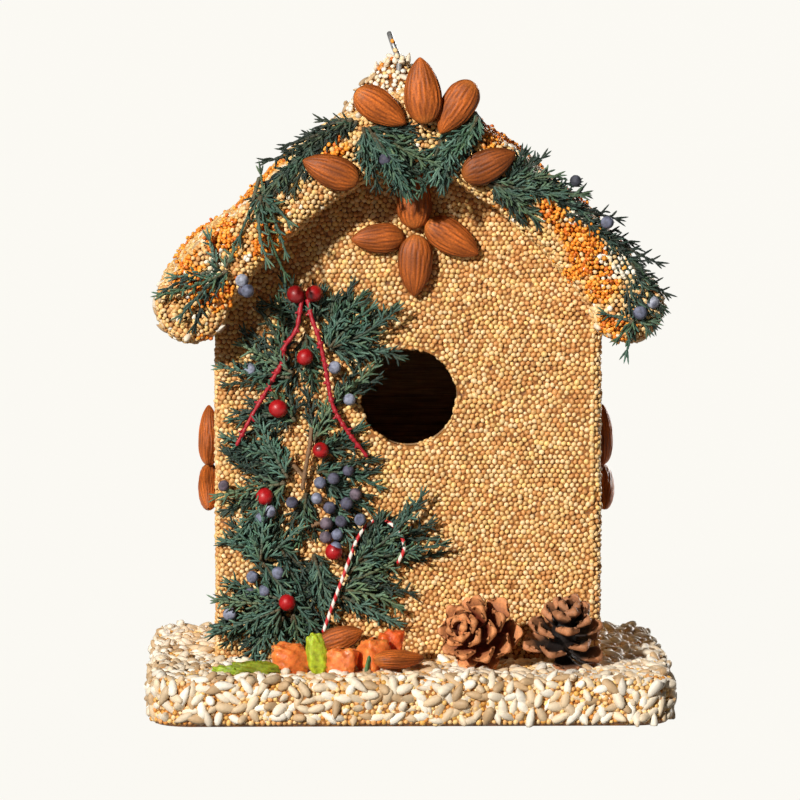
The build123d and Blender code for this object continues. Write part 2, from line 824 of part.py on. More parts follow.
def sprig(u, v, heading, length, spread):
    """Outline of a flat juniper spray: a stem from (u, v) with tapered branchlets on
    both sides, longest near the root."""
    stem_width = 1.6
    branchlet_pitch = 7.0
    count = max(2, int(length / branchlet_pitch))
    with BuildSketch() as spray:
        with BuildLine():
            Polyline(
                (0, -stem_width / 2),
                (length, -stem_width / 4),
                (length + stem_width, 0),
                (length, stem_width / 4),
                (0, stem_width / 2),
                close=True,
            )
        make_face()
        for index in range(count):
            start = length * (index + 0.25) / count
            reach = spread * (1.0 - 0.5 * index / count)
            for side in (-1, 1):
                splay = radians(42.0 * side)
                along = (cos(splay), sin(splay))
                across = (-along[1] * stem_width * 0.8, along[0] * stem_width * 0.8)
                with BuildLine():
                    Polyline(
                        (start, 0),
                        (
                            start + along[0] * reach * 0.55 - across[0],
                            along[1] * reach * 0.55 - across[1],
                        ),
                        (start + along[0] * reach, along[1] * reach),
                        (
                            start + along[0] * reach * 0.55 + across[0],
                            along[1] * reach * 0.55 + across[1],
                        ),
                        close=True,
                    )
                make_face()
    return spray.sketch.rotate(Axis.Z, heading).moved(Location((u, v)))


def juniper_piece(face, sprays, keep_off, out=0.0):
    """Juniper sprays laid flat on a face as one piece, cut clear of the almonds."""
    with BuildPart() as piece:
        with BuildSketch(on_face(face, 0, 0, 0, out)):
            add(sprays)
            for u, v, turn in keep_off:
                with Locations(Location((u, v), turn)):
                    Rectangle(almond_length + 1.0, almond_width + 1.0, mode=Mode.SUBTRACT)
        extrude(amount=sprig_thickness)
    return piece


# The garland on the front wall hangs left of the entrance, from under the eave to the
# base. Its places are set off its middle line and up from the base, in hundredths of
# the wall's height there, and its sprays are as long and wide as that height asks.
garland_unit = (arc_height(soffit_radius, garland_x) - base_height) / 100


def in_garland(across, up):
    """A place in the garland, from hundredths of its height to X and Z."""
    return garland_x + across * garland_unit, base_height + up * garland_unit


def garland_sprig(across, up, heading, length, spread):
    u, v = in_garland(across, up)
    return sprig(u, v, heading, length * garland_unit, spread * garland_unit)


garland_sprays = {
    "juniper_front_upper": [
        garland_sprig(1.7, 77.2, 62, 9.2, 5.7),
        garland_sprig(2.3, 73.8, 4, 14.9, 6.3),
        garland_sprig(-1.1, 72.0, 150, 11.5, 5.7),
        garland_sprig(0.0, 70.3, -82, 9.2, 5.2),
    ],
    "juniper_front_middle": [
        garland_sprig(1.1, 53.1, -12, 10.3, 4.6),
        garland_sprig(-2.3, 54.8, 158, 12.6, 5.7),
        garland_sprig(-2.3, 45.1, 186, 12.6, 5.7),
        garland_sprig(1.7, 42.8, -64, 6.9, 5.2),
    ],
    "juniper_front_lower": [
        garland_sprig(6.9, 26.7, 13, 21.8, 6.3),
        garland_sprig(4.6, 23.2, -38, 14.9, 5.7),
        garland_sprig(-3.4, 26.1, 176, 12.6, 5.7),
        garland_sprig(-4.6, 18.1, 202, 11.5, 5.7),
        garland_sprig(0.0, 19.8, -96, 12.6, 5.7),
    ],
}
for name, sprays in garland_sprays.items():
    juniper = juniper_piece(gable_face, sprays, [])
    juniper.part.label = name
    export_step(juniper.part, f"parts/{name}.step")

# Sprays along the roof's front edge
ridge_keep_off = [
    (across * almond_length, roof_apex_height + up * almond_length, turn)
    for across, up, turn, scale in ridge_petals
] + [left_verge, right_verge]


def slope_spray(side, climb, depth, turn, length, spread):
    """A spray rooted on the front edge of a slope: how far up from the eave it is, how
    deep and how long, all in hundredths of the slope, and its turn from straight down."""
    angle = eave_angle + climb * (ridge_angle - eave_angle) / 100
    u, v = on_slope(angle, depth * slope_unit)
    down_slope = angle - 90.0 if side > 0 else 270.0 - angle
    return sprig(side * u, v, down_slope + turn, length * slope_unit, spread * slope_unit)


roof_sprays = {
    "juniper_left_slope": [
        slope_spray(-1, 62.0, 2.4, -4.0, 35.8, 8.1),
        slope_spray(-1, 41.3, 6.5, 40.0, 17.9, 7.3),
    ],
    "juniper_left_eave": [slope_spray(-1, 14.6, 12.2, -14.0, 21.2, 9.0)],
    "juniper_ridge": [
        slope_spray(-1, 86.8, 9.8, 60.0, 16.3, 9.0),
        slope_spray(1, 81.3, 7.3, -96.0, 17.9, 9.0),
    ],
    "juniper_right_slope": [slope_spray(1, 56.5, 8.1, 4.0, 26.0, 7.3)],
    "juniper_right_eave": [slope_spray(1, 26.2, 4.9, 6.0, 27.7, 7.3)],
}
for name, sprays in roof_sprays.items():
    juniper = juniper_piece(roof_face, sprays, ridge_keep_off)
    juniper.part.label = name
    export_step(juniper.part, f"parts/{name}.step")

# ---------------------------------------------------------------- berries


def berry(face, u, v, diameter, out):
    """A small round fruit pressed onto a face: six-sided, domed, with a flat back."""
    radius = diameter / 2
    rise = diameter * 0.88
    with BuildPart() as fruit:
        with BuildSketch(on_face(face, u, v, 0, out)):
            RegularPolygon(radius * 1.06, 6)
        extrude(amount=rise)
        crown = fruit.faces().sort_by(off_face(face))[-1]
        chamfer(crown.edges(), rise * 0.34)
    return fruit.part


def bunch(centre, around, pitch):
    """Places of a bunch: a pair side by side, or a middle berry and those round it."""
    u, v = centre
    if around == 2:
        return [(u - pitch / 2, v), (u + pitch / 2, v)]
    turns = [radians(360.0 * index / around + 20.0) for index in range(around)]
    return [(u, v)] + [(u + pitch * cos(t), v + pitch * sin(t)) for t in turns]


def fruit_of(on_sprays, on_wall, diameter):
    """Berries of one kind; each sits on the sprays or, between them, on the wall."""
    laid = [(place, sprig_thickness) for place in on_sprays] + [(place, 0.0) for place in on_wall]
    return [berry(gable_face, u, v, diameter, out) for (u, v), out in laid]


# Red berries dotted down the garland; the top pair hang where the twigs are tied
red_pitch = red_berry_diameter * 1.15
red_on_sprays = bunch(in_garland(-0.6, 83.0), 2, red_pitch)
red_on_sprays += [
    in_garland(across, up)
    for across, up in [(-1.1, 68.6), (-6.9, 57.4), (5.7, 24.4), (-4.9, 13.8)]
]
red_on_wall = [in_garland(2.9, 47.9), in_garland(-9.8, 37.6)]
red_solids = fruit_of(red_on_sprays, red_on_wall, red_berry_diameter)
with BuildPart() as red_berries:
    add(red_solids)
red_berries.part.label = "red_berries"
export_step(red_berries.part, "parts/red_berries.step")

# Blue juniper berries in bunches, in pairs and alone; the highest hangs just under the
# soffit at the garland's left edge
blue_pitch = blue_berry_diameter * 1.08
high_berry_x = in_garland(-14.9, 0)[0]
high_berry = (high_berry_x, arc_height(soffit_radius, high_berry_x) - blue_berry_diameter)
blue_on_sprays = bunch(in_garland(7.2, 35.3), 6, blue_pitch)
blue_on_sprays += bunch(in_garland(5.7, 28.2), 2, blue_pitch)
blue_on_sprays += bunch(in_garland(-11.5, 16.1), 3, blue_pitch)
blue_on_wall = bunch(in_garland(-10.3, 33.0), 2, blue_pitch)
blue_on_wall += [
    in_garland(across, up)
    for across, up in [(7.2, 66.6), (9.5, 59.7), (-14.1, 64.0), (-18.4, 40.5)]
]
blue_on_wall.append(high_berry)
blue_solids = fruit_of(blue_on_sprays, blue_on_wall, blue_berry_diameter)
with BuildPart() as juniper_berries:
    add(blue_solids)
juniper_berries.part.label = "juniper_berries"
export_step(juniper_berries.part, "parts/juniper_berries.step")

# ---------------------------------------------------------------- twigs and cane


def twig(points, diameter, face, out):
    """A thin wandering twig lying along a face, one short run after another."""
    with BuildPart() as stick:
        with BuildSketch(on_face(face, 0, 0, 0, out)):
            with BuildLine() as run:
                Polyline(points)
            trace(run.line, diameter)
        extrude(amount=diameter)
    return stick


twig_out = sprig_thickness
twig_runs = {
    "red_twig_left": [(-1.4, 80.1), (-4.3, 72.0), (-6.6, 64.6), (-10.3, 57.1), (-14.4, 49.1)],
    "red_twig_right": [
        (0.9, 80.1),
        (2.6, 73.8),
        (3.3, 65.2),
        (5.5, 57.7),
        (9.2, 51.9),
        (13.8, 45.6),
    ],
}
for name, run in twig_runs.items():
    points = [in_garland(across, up) for across, up in run]
    stick = twig(points, twig_diameter, gable_face, twig_out)
    stick.part.label = name
    export_step(stick.part, f"parts/{name}.step")

# Striped cane laid beside the garland: a straight stem with its crook at the top
cane_foot = in_garland(4.1, 11.2)
cane_neck = in_garland(10.8, 28.4)
crook_end = in_garland(19.5, 22.1)
crook_steps = 7
with BuildPart() as candy_cane:
    with BuildSketch(on_face(gable_face, 0, 0, 0, sprig_thickness)):
        with BuildLine() as crook:
            stem = Line(cane_foot, cane_neck, mode=Mode.PRIVATE)
            hook = TangentArc(cane_neck, crook_end, tangent=stem % 1, mode=Mode.PRIVATE)
            Polyline(cane_foot, *(hook @ (step / crook_steps) for step in range(crook_steps + 1)))
        trace(crook.line, cane_diameter)
    extrude(amount=cane_diameter)
candy_cane.part.label = "candy_cane"
export_step(candy_cane.part, "parts/candy_cane.step")
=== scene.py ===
import math

import bpy
import numpy as np
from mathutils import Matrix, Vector


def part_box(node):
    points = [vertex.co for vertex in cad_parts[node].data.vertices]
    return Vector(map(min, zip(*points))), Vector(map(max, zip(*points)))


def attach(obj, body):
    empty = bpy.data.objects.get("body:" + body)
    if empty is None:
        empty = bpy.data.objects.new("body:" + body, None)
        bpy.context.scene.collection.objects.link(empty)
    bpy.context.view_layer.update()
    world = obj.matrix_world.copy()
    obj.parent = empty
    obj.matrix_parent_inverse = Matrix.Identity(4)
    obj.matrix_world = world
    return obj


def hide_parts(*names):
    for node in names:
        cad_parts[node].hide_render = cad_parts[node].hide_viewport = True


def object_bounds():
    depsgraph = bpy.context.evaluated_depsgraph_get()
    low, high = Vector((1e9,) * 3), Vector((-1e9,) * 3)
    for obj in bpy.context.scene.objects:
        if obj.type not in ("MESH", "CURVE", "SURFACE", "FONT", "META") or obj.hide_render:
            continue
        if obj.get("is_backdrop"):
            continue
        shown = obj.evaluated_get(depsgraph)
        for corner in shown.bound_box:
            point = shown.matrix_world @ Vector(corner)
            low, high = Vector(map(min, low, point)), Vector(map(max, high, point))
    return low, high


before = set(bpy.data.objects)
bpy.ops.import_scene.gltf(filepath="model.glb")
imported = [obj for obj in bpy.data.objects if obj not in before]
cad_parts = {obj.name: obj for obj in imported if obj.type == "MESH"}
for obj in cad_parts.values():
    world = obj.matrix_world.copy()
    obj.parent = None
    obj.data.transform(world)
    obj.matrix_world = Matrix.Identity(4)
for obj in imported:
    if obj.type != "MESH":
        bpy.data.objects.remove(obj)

# Looks of the seed-coated nest house. Lengths here are millimetres and turn into metres
# as a mesh is made. X is across the front, -Y is the front, +Z is up.
MM = 0.001
HOUSE = "house"
rng = np.random.default_rng(20)

cad_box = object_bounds()


def mm_box(node):
    low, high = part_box(node)
    return np.array(low) / MM, np.array(high) / MM


# -------------------- sizes from the CAD

coat_low, coat_high = mm_box("front_seed_coat")
FACE_SIDE = coat_high[0]
FACE_FRONT = coat_low[1]
BASE_TOP = coat_low[2]
CRUST = 4.5
FACE_BACK = mm_box("back_seed_coat")[0][1] + CRUST
FACE_MIDDLE = (FACE_FRONT + FACE_BACK) / 2
roof_low, roof_high = mm_box("roof_seed_coat_right")
ROOF_FRONT, ROOF_BACK, ROOF_APEX = roof_low[1], roof_high[1], roof_high[2]
base_low, base_high = mm_box("base_seed_coat")
APRON_MIDDLE = (FACE_FRONT + base_low[1]) / 2

# Each slope is an arc about a point ROOF_OFFSET past the middle, on the other side. Its
# eave is a bulb, at an angle down the arc
ROOF_RADIUS = 194.0
ROOF_OFFSET = 70.0
SOFFIT_RADIUS = 171.0
EAVE_ANGLE = 32.5
BULB_RADIUS = 13.5
ROOF_CENTRE = ROOF_APEX - math.sqrt(ROOF_RADIUS**2 - ROOF_OFFSET**2)
ENTRANCE_RADIUS = 19.0
ENTRANCE_HEIGHT = 121.0
WALL_CORNER = 3.0
BASE_CORNER = 16.0
HANGER_X = -3.0
HANGER_Y = FACE_MIDDLE
GOLDEN_ANGLE = 137.508

# The distance between grains, a grain's half sizes, and the most seeds that a piece holds
MILLET_PITCH = 2.1
MILLET = np.array([1.22, 1.04, 1.0])
MAX_SEEDS = 4100


def arc_height(radius, x):
    """Height of the roof arc of this radius at a distance from the middle."""
    run = np.minimum(ROOF_OFFSET + np.abs(x), radius)
    return ROOF_CENTRE + np.sqrt(radius**2 - run**2)


def on_slope(angle, depth):
    """X and Z of a point on the right slope, this deep below its outer surface."""
    radius = ROOF_RADIUS - depth
    turn = math.radians(angle)
    return radius * math.cos(turn) - ROOF_OFFSET, radius * math.sin(turn) + ROOF_CENTRE


# Rises of the crust over its arc at angles down the left and the right slope
CRUST_RELIEF = {
    -1: ([30, 34, 37, 40, 44, 48, 53, 62], [0.6, 1.6, 1.0, -1.0, -4.0, -3.0, -1.6, -0.8]),
    1: ([30, 34, 40, 46, 52, 62], [0.4, 0.4, -0.4, -1.4, -1.6, -0.8]),
}


def crust_relief(side, angle):
    """How far the crust's top stands over or under its arc, down each slope."""
    return np.interp(angle, *CRUST_RELIEF[side])


def xyz(x, y, z):
    """Rows of points from columns or single numbers."""
    return np.column_stack(np.broadcast_arrays(x, y, z))


def lumps(places, size=9.0):
    """Soft unevenness of a packed seed surface, between about -1 and 1."""
    x, y, z = (places[:, axis] / size for axis in range(3))
    wave = np.sin(x * 1.3 + 1.7 * np.sin(z * 0.9 + 0.4)) * np.cos(y * 1.1 + 0.8 * np.sin(x))
    wave += 0.6 * np.sin(z * 2.1 + 1.3 * np.sin(y * 1.7)) * np.cos(x * 1.9 - 0.6)
    return wave / 1.6


# -------------------- meshes


def new_mesh(name, verts, face_groups, tints=None, uvs=None):
    """A smooth mesh from millimetre points and arrays of faces, with an optional colour
    at every point and an optional UV at every corner."""
    mesh = bpy.data.meshes.new(name)
    verts = np.asarray(verts, dtype=np.float32) * MM
    groups = [np.asarray(group, dtype=np.int32) for group in face_groups]
    corners = np.concatenate([group.ravel() for group in groups])
    sides = np.concatenate([np.full(len(group), group.shape[1]) for group in groups])
    mesh.vertices.add(len(verts))
    mesh.vertices.foreach_set("co", verts.ravel())
    mesh.loops.add(len(corners))
    mesh.loops.foreach_set("vertex_index", corners)
    mesh.polygons.add(len(sides))
    starts = np.concatenate([[0], np.cumsum(sides)[:-1]])
    mesh.polygons.foreach_set("loop_start", starts.astype(np.int32))
    mesh.update(calc_edges=True)
    mesh.polygons.foreach_set("use_smooth", np.ones(len(sides), dtype=bool))
    if tints is not None:
        layer = mesh.color_attributes.new(name="tint", type="FLOAT_COLOR", domain="POINT")
        rgba = np.ones((len(verts), 4), dtype=np.float32)
        rgba[:, :3] = tints
        layer.data.foreach_set("color", rgba.ravel())
    if uvs is not None:
        layer = mesh.uv_layers.new(name="OFBake")
        layer.data.foreach_set("uv", np.asarray(uvs, dtype=np.float32).ravel())
    mesh.update()
    return mesh


def add_object(name, data):
    """An object put into the scene."""
    obj = bpy.data.objects.new(name, data)
    bpy.context.scene.collection.objects.link(obj)
    return obj


def piece(name, mesh, material, replaces=()):
    """A visible piece on the house, standing for the CAD nodes it replaces."""
    obj = add_object(name, mesh)
    mesh.materials.append(MATERIALS[material])
    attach(obj, HOUSE)
    if replaces:
        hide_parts(*replaces)


def ring_faces(rings, around):
    """Quads between closed rings of points, numbered ring by ring."""
    row = np.arange(rings - 1)[:, None] * around
    step = np.arange(around)[None, :]
    after = (step + 1) % around
    quads = [row + step, row + after, row + around + after, row + around + step]
    return np.stack(quads, axis=2).reshape(-1, 4)


def lathe(profile, around):
    """Points and faces of a closed round solid: rings of (height, radius) between two
    end points on the axis, which runs along Z."""
    turns = whole_turn(around)
    rings = [
        np.stack([r * np.cos(turns), r * np.sin(turns), np.full(around, h)], axis=1)
        for h, r in profile[1:-1]
    ]
    verts = np.concatenate(rings + [[[0, 0, profile[0][0]], [0, 0, profile[-1][0]]]])
    count = len(rings)
    quads = ring_faces(count, around)
    step = np.arange(around)
    after = (step + 1) % around
    start = np.full(around, count * around)
    foot = np.stack([start, after, step], axis=1)
    last = (count - 1) * around
    crown = np.stack([last + step, last + after, start + 1], axis=1)
    return verts, [quads, np.concatenate([foot, crown])]


def triangles(face_groups):
    """Every face as triangles."""
    fans = [
        group[:, [0, corner, corner + 1]]
        for group in face_groups
        for corner in range(1, group.shape[1] - 1)
    ]
    return np.concatenate(fans)


def template(profile, around):
    """A lathed shape to be copied: its points and triangles."""
    verts, faces = lathe(profile, around)
    return verts, triangles(faces)


def shade_where(mask, factor):
    """Factors for a template's colours: one where the mask holds, else no change."""
    return np.where(mask, [factor], [[1.0, 1.0, 1.0]])


def whole_turn(steps):
    """Angles evenly round a circle."""
    return np.linspace(0, 2 * np.pi, steps, endpoint=False)


def unit(vectors):
    return vectors / np.maximum(np.linalg.norm(vectors, axis=-1, keepdims=True), 1e-9)


def frames_on(normals, spin, tilt):
    """Axes of things standing on a surface: turned about its normal, then tilted. The
    last axis is the one that stands up."""
    reference = np.where(np.abs(normals[:, 2:3]) < 0.9, [[0.0, 0.0, 1.0]], [[1.0, 0.0, 0.0]])
    across = unit(np.cross(reference, normals))
    along = np.cross(normals, across)
    c, s = np.cos(spin)[:, None], np.sin(spin)[:, None]
    first = across * c + along * s
    second = along * c - across * s
    ct, st = np.cos(tilt)[:, None], np.sin(tilt)[:, None]
    return np.stack([first * ct + normals * st, second, normals * ct - first * st], axis=2)


def copies(shape, places, axes, sizes, tints, shade):
    """Copies of a template: points, faces, colours and a UV cell of its own for each
    copy. The shade multiplies the colours point by point."""
    points, faces = shape
    count, each = len(places), len(points)
    scaled = points[None] * sizes[:, None, :]
    verts = places[:, None, :] + np.einsum("kij,kvj->kvi", axes, scaled)
    verts[..., 2] = np.maximum(verts[..., 2], 0.05)
    tris = faces[None] + (np.arange(count) * each)[:, None, None]
    colour = np.repeat(tints[:, None, :], each, axis=1) * shade[None]
    flat = points / np.abs(points).max(axis=0)
    rise = np.arctan2(np.hypot(flat[:, 0], flat[:, 1]), flat[:, 2]) / np.pi
    turn = np.arctan2(flat[:, 1], flat[:, 0])
    local = 0.5 + 0.46 * np.stack([rise * np.cos(turn), rise * np.sin(turn)], axis=1)
    grid = math.ceil(math.sqrt(count))
    cell = np.stack([np.arange(count) % grid, np.arange(count) // grid], axis=1)
    uvs = (cell[:, None, None, :] + local[faces][None]) / grid
    return verts.reshape(-1, 3), tris.reshape(-1, 3), colour.reshape(-1, 3), uvs.reshape(-1, 2)


def scatter(name, shape, places, axes, sizes, tints, material, shade):
    """Seeds as pieces of a few thousand each."""
    parts = max(1, math.ceil(len(places) / MAX_SEEDS))
    bounds = np.linspace(0, len(places), parts + 1).astype(int)
    for index in range(parts):
        own = slice(bounds[index], bounds[index + 1])
        verts, tris, colour, uvs = copies(
            shape, places[own], axes[own], sizes[own], tints[own], shade
        )
        title = name if parts == 1 else f"{name}_{index + 1}"
        piece(title, new_mesh(title, verts, [tris], colour, uvs), material)


# -------------------- places for seeds


def pushed_apart(spots, reach, across, down):
    """How far the near spots push each one, found through a table of grid cells."""
    own = np.arange(len(spots))
    column = np.clip((spots[:, 0] / reach).astype(int) + 1, 1, across - 2)
    row = np.clip((spots[:, 1] / reach).astype(int) + 1, 1, down - 2)
    cell = column * down + row
    order = np.argsort(cell, kind="stable")
    ranked = cell[order]
    rank = own - np.searchsorted(ranked, ranked)
    table = np.full((across * down, 4), -1)
    fits = rank < 4
    table[ranked[fits], rank[fits]] = order[fits]
    push = np.zeros_like(spots)
    for step in (-down - 1, -down, -down + 1, -1, 0, 1, down - 1, down, down + 1):
        for other in table[cell + step].T:
            away = spots - spots[other]
            gap = np.hypot(away[:, 0], away[:, 1])
            near = (other >= 0) & (other != own) & (gap < reach)
            strength = np.where(near, (reach - gap) / np.maximum(gap, 0.05), 0.0)
            push += away * strength[:, None] * 0.5
    return push


def packed(width, height, pitch, rounds=14):
    """Places on a flat patch, random but nearly a pitch apart, as poured grain settles."""
    rows = np.arange(0.0, height, pitch * 0.866)
    columns = np.arange(0.0, width, pitch)
    grid = np.stack(np.meshgrid(columns, rows), axis=2)
    grid[1::2, :, 0] += pitch / 2
    spots = grid.reshape(-1, 2) + rng.normal(0, pitch * 0.3, (grid.size // 2, 2))
    reach = pitch * 1.06
    across, down = int(width / reach) + 4, int(height / reach) + 4
    for _ in range(rounds):
        push = pushed_apart(spots, reach, across, down)
        spots += np.clip(push * 0.6, -pitch / 3, pitch / 3)
        spots = np.clip(spots, 0, [width, height])
    return spots


def path_along(points, normals):
    """A function from distances along a plane path to its points and normals, and the
    path's length."""
    points, normals = np.array(points), np.array(normals)
    steps = np.linalg.norm(np.diff(points, axis=0), axis=1)
    run = np.concatenate([[0.0], np.cumsum(steps)])

    def at(distance):
        place = np.stack([np.interp(distance, run, points[:, i]) for i in (0, 1)], axis=1)
        normal = np.stack([np.interp(distance, run, normals[:, i]) for i in (0, 1)], axis=1)
        return place, unit(normal)

    return at, run[-1]


def rounded_outline(half_x, half_y, middle_y, corner):
    """The path round a rectangle with rounded corners, from above."""
    points, normals = [], []
    for sx, sy, start in ((1, -1, -90), (1, 1, 0), (-1, 1, 90), (-1, -1, 180)):
        for step in range(13):
            turn = math.radians(start + 90 * step / 12)
            x = sx * (half_x - corner) + corner * math.cos(turn)
            y = middle_y + sy * (half_y - corner) + corner * math.sin(turn)
            points.append((x, y))
            normals.append((math.cos(turn), math.sin(turn)))
    points.append(points[0])
    normals.append(normals[0])
    return path_along(points, normals)


def roof_profile(side):
    """One slope's section, as on the right, in X and Z: down the top, round the eave, up
    the soffit."""
    points, normals = [], []
    top = math.degrees(math.acos(ROOF_OFFSET / ROOF_RADIUS))
    under = math.degrees(math.acos(ROOF_OFFSET / SOFFIT_RADIUS))
    for angle in np.linspace(top, EAVE_ANGLE + 3.0, 60):
        turn = math.radians(angle)
        normals.append((math.cos(turn), math.sin(turn)))
        points.append(on_slope(angle, -crust_relief(side, angle)))
    bulb = on_slope(EAVE_ANGLE, (ROOF_RADIUS - SOFFIT_RADIUS) / 2)
    for turn in np.radians(np.linspace(EAVE_ANGLE + 35, EAVE_ANGLE - 215, 36)):
        normals.append((math.cos(turn), math.sin(turn)))
        x = bulb[0] + BULB_RADIUS * math.cos(turn)
        points.append((x, bulb[1] + BULB_RADIUS * math.sin(turn)))
    for turn in np.radians(np.linspace(EAVE_ANGLE + 3.0, under, 50)):
        normals.append((-math.cos(turn), -math.sin(turn)))
        x = SOFFIT_RADIUS * math.cos(turn) - ROOF_OFFSET
        points.append((x, SOFFIT_RADIUS * math.sin(turn) + ROOF_CENTRE))
    return points, normals


# -------------------- materials


def linear(red, green, blue):
    """A colour given as it looks on screen, 0 to 255, as the renderer wants it."""
    return tuple(
        c / 12.92 if c <= 0.04045 else ((c + 0.055) / 1.055) ** 2.4
        for c in (red / 255, green / 255, blue / 255)
    )


def palette(*colours):
    """An array of tints from colours given as they look on screen."""
    return np.array([linear(*colour) for colour in colours])


class Graph:
    """A node graph being put together. An input takes a number, a colour or the output
    of another node."""

    def __init__(self, owner):
        owner.use_nodes = True
        self.nodes, self.links = owner.node_tree.nodes, owner.node_tree.links

    def put(self, entry, value):
        if isinstance(value, (float, int)):
            entry.default_value = value
        elif isinstance(value, tuple):
            entry.default_value = (*value, 1.0)
        else:
            self.links.new(value, entry)

    def fill(self, node, **values):
        for socket, value in values.items():
            self.put(node.inputs[socket.replace("_", " ")], value)
        return node

    def node(self, kind, **values):
        return self.fill(self.nodes.new(kind), **values)

    def in_order(self, kind, values, operation=None):
        """The output of a node whose inputs are given in order."""
        made = self.nodes.new(kind)
        if operation:
            made.operation = operation
        for entry, value in zip(made.inputs, values):
            self.put(entry, value)
        return made.outputs[0]

    def maths(self, operation, *values):
        return self.in_order("ShaderNodeMath", values, operation)

    def blend(self, *values):
        """One surface or another by a factor."""
        return self.in_order("ShaderNodeMixShader", values)


class Shader(Graph):
    """A material being put together."""

    def __init__(self, name, **sockets):
        self.material = bpy.data.materials.new(name)
        super().__init__(self.material)
        self.surface = self.fill(self.nodes["Principled BSDF"], **sockets)

    def noise(self, scale, detail=3.0, stretch=None):
        """Noise in the object's own coordinates, with so many cells a metre."""
        place = self.nodes.new("ShaderNodeTexCoord").outputs["Object"]
        if stretch:
            mapping = self.node("ShaderNodeMapping", Vector=place)
            mapping.inputs["Scale"].default_value = stretch
            place = mapping.outputs["Vector"]
        return self.node("ShaderNodeTexNoise", Scale=scale, Detail=detail, Vector=place).outputs["Fac"]

    def tint(self):
        """The colour that the mesh carries at each point."""
        attribute = self.nodes.new("ShaderNodeAttribute")
        attribute.attribute_name = "tint"
        return attribute.outputs["Color"]

    def mix(self, factor, first, second, blend="MIX"):
        """Two colours mixed, through the sockets that the node shows for colours."""
        mix = self.nodes.new("ShaderNodeMix")
        mix.data_type = "RGBA"
        mix.blend_type = blend
        shown = {entry.name: entry for entry in mix.inputs if entry.enabled}
        for socket, value in (("Factor", factor), ("A", first), ("B", second)):
            self.put(shown[socket], value)
        return next(entry for entry in mix.outputs if entry.enabled)

    def ramp(self, factor, *stops):
        """A colour ramp with (position, colour) stops."""
        ramp = self.node("ShaderNodeValToRGB", Fac=factor)
        elements = ramp.color_ramp.elements
        while len(elements) < len(stops):
            elements.new(0.5)
        for element, (position, colour) in zip(elements, stops):
            element.position = position
            element.color = (*colour, 1.0)
        return ramp.outputs["Color"]

    def colour(self, value):
        self.fill(self.surface, Base_Color=value)

    def roughness(self, factor, low, high):
        """Roughness from a noise, stretched from its usual middle range to low .. high."""
        span = self.node(
            "ShaderNodeMapRange", Value=factor, From_Min=0.3, From_Max=0.7, To_Min=low, To_Max=high
        )
        self.fill(self.surface, Roughness=span.outputs["Result"])

    def bump(self, height, depth_mm):
        bump = self.node("ShaderNodeBump", Strength=1.0, Distance=depth_mm * MM, Height=height)
        self.fill(self.surface, Normal=bump.outputs["Normal"])


def mottled(name, amount, grain, bump_mm, rough, **sockets):
    """A material in the mesh's own tints, freckled and slightly uneven."""
    shader = Shader(name, **sockets)
    fine = shader.noise(grain, 4.0)
    dark, light = (1 - amount,) * 3, (1 + amount,) * 3
    freckles = shader.ramp(fine, (0.35, dark), (0.65, light))
    shader.colour(shader.mix(1.0, shader.tint(), freckles, "MULTIPLY"))
    shader.roughness(fine, *rough)
    shader.bump(shader.noise(grain * 1.7), bump_mm)
    return shader.material


def one_noise(name, noise, stops, rough, bump_mm, **sockets):
    """A material that follows one noise, with its colours at stops along it."""
    shader = Shader(name, **sockets)
    value = shader.noise(*noise)
    shader.colour(shader.ramp(value, *((position, linear(*seen)) for position, seen in stops)))
    shader.roughness(value, *rough)
    shader.bump(value, bump_mm)
    return shader.material


def steel(name, metallic):
    """Zinc-coated steel with a faint spangle."""
    stops = [(0.35, (128, 130, 132)), (0.65, (176, 178, 180))]
    return one_noise(name, (900.0,), stops, (0.35, 0.6), 0.04, Metallic=metallic)


def sawn_wood(name):
    """Pale sawn pine with its grain along the length."""
    shader = Shader(name)
    grain = shader.noise(60.0, 6.0, stretch=(0.35, 1.0, 9.0))
    pores = shader.noise(900.0, stretch=(0.1, 1.0, 3.0))
    late, middle, early = linear(150, 104, 62), linear(196, 152, 102), linear(214, 176, 128)
    wood = shader.ramp(grain, (0.3, late), (0.5, middle), (0.72, early))
    fleck = shader.ramp(pores, (0.4, linear(140, 96, 58)), (0.6, linear(224, 190, 146)))
    shader.colour(shader.mix(0.35, wood, fleck))
    shader.roughness(grain, 0.6, 0.85)
    shader.bump(pores, 0.15)
    return shader.material


def cane_stripes(name, twists=15.0):
    """Red and white in turn round a twisted cane."""
    shader = Shader(name, Coat_Weight=0.3)
    uv = shader.nodes.new("ShaderNodeUVMap")
    uv.uv_map = "OFBake"
    split = shader.node("ShaderNodeSeparateXYZ", Vector=uv.outputs["UV"]).outputs
    phase = shader.maths("FRACT", shader.maths("MULTIPLY_ADD", split["Y"], twists, split["X"]))
    red, white = linear(198, 26, 34), linear(238, 230, 222)
    shader.colour(shader.ramp(phase, (0.42, red), (0.5, white), (0.93, white), (1.0, red)))
    fuzz = shader.noise(2500.0)
    shader.roughness(fuzz, 0.35, 0.6)
    shader.bump(fuzz, 0.08)
    return shader.material


